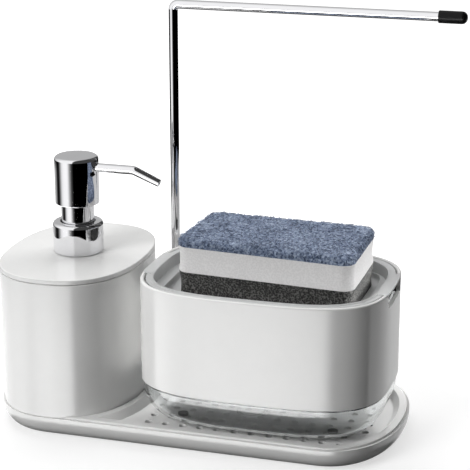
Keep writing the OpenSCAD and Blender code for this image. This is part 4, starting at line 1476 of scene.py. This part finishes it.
rail_path = [(rail_x, rail_y, rail_low.z), (rail_x, rail_y, rail_low.z + RAIL_SOFT)]
for t in np.linspace(0, QUARTER, RAIL_BEND_STEPS):
    rail_path.append((
        rail_x + RAIL_BEND_R * (1 - math.cos(t)), rail_y,
        RAIL_H - RAIL_BEND_R + RAIL_BEND_R * math.sin(t)))
rail_path += [(rail_high.x - RAIL_SOFT, rail_y, RAIL_H), (rail_high.x, rail_y, RAIL_H)]
rail_radii = [RAIL_R - RAIL_SOFT] + [RAIL_R] * (len(rail_path) - 2) + [RAIL_R - RAIL_SOFT]
rail = skin("bent_cloth_rail", rings_along(rail_path, rail_radii, RAIL_POINTS))
place_piece(rail, chrome, "chrome", "rail", "cloth_rail")

# %% Rail cap
CAP_MOUTH = 0.5 * MM
cap = turned("rubber_end_cap", [
    (0, CAP_LEN, 0),
    (cap_r, CAP_LEN, CAP_ROUND),
    (cap_r, 0, CAP_MOUTH),
    (RAIL_R + RUN_GAP, 0, 0),
    (RAIL_R + RUN_GAP, CAP_BORE, 0),
    (0, CAP_BORE, 0),
], Vector((0, 0, 0)), closed=False)
cap.data.transform(
    Matrix.Translation((cap_low.x, rail_y, RAIL_H)) @ Matrix.Rotation(QUARTER, 4, "Y"))
place_piece(cap, black_rubber, "black_rubber", "rail", "rail_cap")

# %% [markdown]
# ## Return spring
# A return spring is wound from hard wire on a mandrel, and it gets shorter as the head
# goes down. Its CAD node is one rigid coil, so a coil of the same size stands for it
# here: a ring of wire carried up a helix.

# %% Return spring
SPRING_WIRE_R = 0.5 * MM
SPRING_TURNS = 7
STEPS_A_TURN = 24
WIRE_POINTS = 12
coil_low, coil_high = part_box("pump_spring")
coil_r = (coil_high.x - coil_low.x) / 2 - SPRING_WIRE_R
coil_foot = coil_low.z + SPRING_WIRE_R
coil_climb = coil_high.z - SPRING_WIRE_R - coil_foot
coil_rings = []
for share in np.linspace(0, 1, SPRING_TURNS * STEPS_A_TURN + 1):
    turn = math.tau * SPRING_TURNS * share
    outwards = np.array([math.cos(turn), math.sin(turn), 0])
    middle = np.array([pump_x, 0, coil_foot + coil_climb * share]) + coil_r * outwards
    wire = circle(SPRING_WIRE_R, WIRE_POINTS)
    coil_rings.append([middle + u * outwards + np.array([0, 0, v]) for u, v in wire])
spring = skin("coiled_return_spring", coil_rings)
place_piece(spring, steel, "steel", "pump", "pump_spring")

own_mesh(spring)

# %% [markdown]
# ## CAD nodes that stay
# The pump's inner parts, the seals and the small pads are right as the CAD gives them.
# They keep their solids and get the finish of their material slot.

# %% Finishes for the kept nodes
FINISHES = {
    "grey_rubber": grey_rubber,
    "soft_seal": soft_seal,
    "natural_plastic": natural_plastic,
    "steel": steel,
}
slot_of = {part["node"]: part["material_slot"] for part in frame["record"]["subparts"]}
kept_nodes = []
for name, node in frame["nodes"].items():
    if slot_of[name] not in FINISHES or name == "pump_spring":
        continue
    finish = FINISHES[slot_of[name]]
    node.data.materials.clear()
    node.data.materials.append(finish)
    for material_slot in node.material_slots:
        material_slot.material = finish
    kept_nodes.append(name)
print("kept:", ", ".join(sorted(kept_nodes)))

# %% [markdown]
# ## Floor
# A product like this is photographed on a white sweep. The floor takes the contact
# shadow; what the camera and the clear plastic see of it is lifted to white. To bounced
# light it is darker, because a studio puts black card round a glossy white object so
# that its turned-away sides keep their shape. Mirrors look past it into the studio.

# %% Floor
FLOOR_HALF = 6
floor_corners = [(x * FLOOR_HALF, y * FLOOR_HALF, 0) for x, y in ((-1, -1), (1, -1), (1, 1), (-1, 1))]
floor = mesh_piece("floor", floor_corners, [tuple(range(len(floor_corners)))])
floor.visible_glossy = False
print("floor is", 2 * FLOOR_HALF, "m wide")

# %% Floor finish
LIFT_NEAR = 0.62
LIFT_FAR = 1
NEAR_REACH = (0.19, 0.12, 1)
FAR_SHARE = 2.2
FLOOR_BOUNCE = 0.18
FLOOR_SHOWN = 0.45


def seen_directly(tree):
    """1 for what the camera sees, also through clear plastic, and 0 for light."""
    path = add(tree, "ShaderNodeLightPath").outputs
    return add(
        tree, "ShaderNodeMath", links={0: path["Is Camera Ray"], 1: path["Is Transmission Ray"]},
        operation="MAXIMUM").outputs["Value"]


material, tree, shader = new_material("white_sweep", Roughness=1, Specular_IOR_Level=0)
seen = seen_directly(tree)
shown = add(tree, "ShaderNodeMapRange", {"To Min": FLOOR_BOUNCE, "To Max": FLOOR_SHOWN}, {"Value": seen})
place = add(tree, "ShaderNodeTexCoord").outputs["Object"]
spot = add(tree, "ShaderNodeVectorMath", {1: NEAR_REACH}, {0: place}, operation="DIVIDE")
away = add(tree, "ShaderNodeVectorMath", links={0: spot.outputs["Vector"]}, operation="LENGTH")
# The floor's glow, as the camera and clear plastic see it, is weaker near the set, where the real contact
# shadow shows, and full further out.
lift = add(
    tree, "ShaderNodeMapRange",
    {"From Min": 1, "From Max": FAR_SHARE, "To Min": LIFT_NEAR, "To Max": LIFT_FAR},
    {"Value": away.outputs["Value"]})
lifted = add(tree, "ShaderNodeMath", links={0: lift.outputs["Result"], 1: seen}, operation="MULTIPLY")
shader.inputs["Emission Color"].default_value = white
tree.links.new(shown.outputs["Result"], shader.inputs["Base Color"])
tree.links.new(lifted.outputs["Value"], shader.inputs["Emission Strength"])
floor.data.materials.append(material)
print("floor bounces", FLOOR_BOUNCE, "of the light")

# %% [markdown]
# ## Studio for the reflections
# Chrome is only as good as what it reflects. A studio hangs a long white board and
# black ones round the set, and from each bright or dark stripe on the pump one can work
# out where they were. Here they are painted on the world, by compass direction, for
# reflections alone: a belt a little below eye level, which the upright chrome shows, a
# darker one for the cloth rail, one for the gloss of the white walls, and the sky
# above, brighter in front than behind and almost dark on the right.

# %% Direction of a reflection
world = bpy.data.worlds.new("white_surroundings")
bpy.context.scene.world = world
world.use_nodes = True
sky = world.node_tree
way = add(sky, "ShaderNodeTexCoord").outputs["Generated"]
heading = add(sky, "ShaderNodeSeparateXYZ", links={0: way}).outputs
bearing = add(sky, "ShaderNodeMath", links={0: heading["Y"], 1: heading["X"]}, operation="ARCTAN2")
turn = add(
    sky, "ShaderNodeMapRange", {"From Min": -math.pi, "From Max": math.pi},
    {"Value": bearing.outputs["Value"]}).outputs["Result"]
print("the world has", len(sky.nodes), "nodes so far")

# %% Brightness by direction
HALF_TURN = 180


def round_the_set(stops, level):
    """Brightness by compass direction, from (degrees, share) pairs."""
    ramp = add(
        sky, "ShaderNodeValToRGB", links={"Fac": turn},
        stops=[((degrees / HALF_TURN + 1) / 2, (share, share, share, 1)) for degrees, share in stops])
    made = add(sky, "ShaderNodeMath", {1: level}, {0: ramp.outputs["Color"]}, operation="MULTIPLY")
    return made.outputs["Value"]


def mixed(share, first, second):
    """Two brightnesses mixed by a share; either may be a plain number."""
    mix = add(sky, "ShaderNodeMix", links={"Factor": share})
    for key, value in (("A", first), ("B", second)):
        if isinstance(value, (int, float)):
            mix.inputs[key].default_value = value
        else:
            sky.links.new(value, mix.inputs[key])
    return mix.outputs["Result"]


def passing(axis, start, end, first, second):
    """Passes from one brightness to another between two places on an axis of view."""
    share = add(sky, "ShaderNodeMapRange", {"From Min": start, "From Max": end}, {"Value": heading[axis]})
    return mixed(share.outputs["Result"], first, second)


print("bearings run from", -HALF_TURN, "to", HALF_TURN, "degrees")

# %% Sky above the boards
SKY_TURN = (0.6, -0.3)
SKY_BEHIND = 0.5
SKY_FRONT = 1.1
SKY_RIGHT = (-0.03, 0.04)
SKY_DARK = 0.06
above = passing("Y", *SKY_TURN, SKY_BEHIND, SKY_FRONT)
above = passing("X", *SKY_RIGHT, above, SKY_DARK)
print("sky passes from", SKY_BEHIND, "behind to", SKY_FRONT, "in front")

# %% Boards round the set
BELT_LEVEL = 1.16
BELT = (
    (-180, 0), (-170, 0.04), (-160, 0.4), (-152, 0.78), (-140, 0.96), (-122, 1), (-115, 0.82), (-107, 0.36),
    (-97, 0.06), (-87, 0), (8, 0), (16, 0.5), (55, 0.6), (120, 0.55), (150, 0.42), (160, 0.2), (170, 0.02),
    (180, 0))
WALL_LEVEL = 7.7
WALL_BELT = (
    (-180, 0.39), (-170, 0.49), (-150, 0.65), (-128, 0.65), (-112, 1), (-74, 1), (-61, 0), (9, 0), (12, 0.18),
    (60, 0.13), (95, 0.11), (125, 0.2), (145, 0.25), (165, 0.33), (180, 0.39))
FRONT_STOPS = 10
RAIL_BELT = (*BELT[:FRONT_STOPS], (150, 0), (180, 0))
WALL_EDGE = (-0.319, -0.307)
RAIL_EDGE = (-0.255, -0.247)
NADIR_EDGE = (-0.56, -0.5)
SKY_EDGE = (-0.148, -0.087)
NADIR_LEVEL = 0.06
studio = passing("Z", *WALL_EDGE, round_the_set(WALL_BELT, WALL_LEVEL), round_the_set(BELT, BELT_LEVEL))
studio = passing("Z", *RAIL_EDGE, studio, round_the_set(RAIL_BELT, BELT_LEVEL))
studio = passing("Z", *NADIR_EDGE, NADIR_LEVEL, studio)
studio = passing("Z", *SKY_EDGE, studio, above)
print("the world has", len(sky.nodes), "nodes with its boards")

# %% Light of the world
SKY_SEEN = 1
SKY_LIGHT = 0.08
glossy = add(sky, "ShaderNodeLightPath").outputs["Is Glossy Ray"]
strength = mixed(seen_directly(sky), mixed(glossy, SKY_LIGHT, studio), SKY_SEEN)
sky.nodes["Background"].inputs["Color"].default_value = white
sky.links.new(strength, sky.nodes["Background"].inputs["Strength"])
print("sky lights at", SKY_LIGHT, "and shows as", SKY_SEEN)

# %% [markdown]
# ## Black card
# The spout's underside would show nothing but the white lid. A black card below the
# spout, seen by mirrors alone, draws the dark line along it that makes it look round.

# %% Black card
CARD_SIDES = (-4 * MM, 8 * MM)
CARD_DROP = 8 * MM
CARD_LEFT = 3 * MM
CARD_CLEAR = 10 * MM
card_start = pump_x + head_r + CARD_CLEAR
card_points = []
for x, _, z in spout_path:
    card_points += [(max(x - CARD_LEFT, card_start), side, z - CARD_DROP) for side in CARD_SIDES]
card = mesh_piece("black_card", card_points, [
    (k, k + 2, k + 3, k + 1) for k in range(0, len(card_points) - 2, 2)])
card_paper = new_material(
    "black_card_paper", Base_Color=linear("#050505"), Roughness=1, Specular_IOR_Level=0)[0]
card.data.materials.append(card_paper)
for ray in ("camera", "diffuse", "transmission", "shadow"):
    setattr(card, f"visible_{ray}", False)
print("card hangs", CARD_DROP / MM, "mm below the spout")

# %% [markdown]
# ## Lamps
# A soft key lamp stands at the front left, a second hangs overhead behind, and a weak
# third is behind on the right. Nothing lights the front right corner, and that is what
# turns the sleeve dark there. The photograph has no shadow of the bottle on the sleeve,
# so the sleeve is lit by a twin of the key lamp whose light passes the bottle, and by a
# weak one from the left. A renderer stops a lamp's light at clear plastic where the real
# one lets it through, so a low lamp behind the set lights the tray alone and passes the
# cup. The sponge swallows light, so its right side has a lamp of its own, linked to the
# sponge alone, and its grey layer has a second one.

# %% Lamp helpers
AIM_HEIGHT = 80 * MM


def soft_lamp(name, bearing, elevation, distance, size, power):
    """A square lamp that points at the set, placed by compass bearing and elevation."""
    lamp = bpy.data.objects.new(name, bpy.data.lights.new(name, "AREA"))
    bpy.context.scene.collection.objects.link(lamp)
    lamp.data.size = size
    lamp.data.energy = power
    bearing, elevation = math.radians(bearing), math.radians(elevation)
    level = math.cos(elevation)
    way = Vector((math.cos(bearing) * level, math.sin(bearing) * level, math.sin(elevation)))
    lamp.location = Vector((0, 0, AIM_HEIGHT)) + way * distance
    lamp.rotation_euler = way.to_track_quat("Z", "Y").to_euler()
    lamp.visible_glossy = False
    return lamp


def link(lamp, kind, state, *pieces):
    """Links a lamp's light or its shadows to some pieces alone, or to all but some."""
    group = bpy.data.collections.new(f"{lamp.name}_{kind}")
    for piece in pieces:
        group.objects.link(piece)
    for item in group.collection_objects:
        item.light_linking.link_state = state
    setattr(lamp.light_linking, kind, group)


print("lamps point at a height of", round(AIM_HEIGHT / MM), "mm")

# %% Key lamp and the sleeve's lamps
KEY_LAMP = {"bearing": 238, "elevation": 28, "distance": 1.5, "size": 0.7, "power": 15.5}
EDGE_LAMP = {"bearing": 192, "elevation": 20, "distance": 1.5, "size": 0.5, "power": 3.4}
key_lamp = soft_lamp("key_lamp", **KEY_LAMP)
sleeve_lamp = soft_lamp("sleeve_lamp", **KEY_LAMP)
link(key_lamp, "receiver_collection", "EXCLUDE", sleeve)
link(sleeve_lamp, "receiver_collection", "INCLUDE", sleeve)
edge_lamp = soft_lamp("edge_lamp", **EDGE_LAMP)
link(edge_lamp, "receiver_collection", "INCLUDE", sleeve)
for lamp in (sleeve_lamp, edge_lamp):
    link(lamp, "blocker_collection", "EXCLUDE", bottle, lid)
print("the sleeve is lit by", sleeve_lamp.name, "and", edge_lamp.name)

# %% Lamps behind the set
TRAY_LAMP = {"bearing": 92, "elevation": 17, "distance": 1.4, "size": 0.15, "power": 28}
TOP_LAMP = {"bearing": 128, "elevation": 64, "distance": 1.3, "size": 1, "power": 12}
BACK_LAMP = {"bearing": 60, "elevation": 35, "distance": 1.4, "size": 0.7, "power": 7}
tray_lamp = soft_lamp("tray_lamp", **TRAY_LAMP)
link(tray_lamp, "receiver_collection", "INCLUDE", tray)
link(tray_lamp, "blocker_collection", "EXCLUDE", cup)
soft_lamp("top_lamp", **TOP_LAMP)
soft_lamp("back_lamp", **BACK_LAMP)
print("the tray is lit by", tray_lamp.name)

# %% Lamps for the sponge
SPONGE_LAMP = {"bearing": 12, "elevation": 25, "distance": 1.2, "size": 0.4, "power": 10}
GREY_FOAM_LAMP = {**SPONGE_LAMP, "power": 26}
sponge_lamp = soft_lamp("sponge_lamp", **SPONGE_LAMP)
grey_foam_lamp = soft_lamp("grey_foam_lamp", **GREY_FOAM_LAMP)
link(sponge_lamp, "receiver_collection", "INCLUDE", grey_foam_piece, white_foam_piece, mat, strands)
link(grey_foam_lamp, "receiver_collection", "INCLUDE", grey_foam_piece)
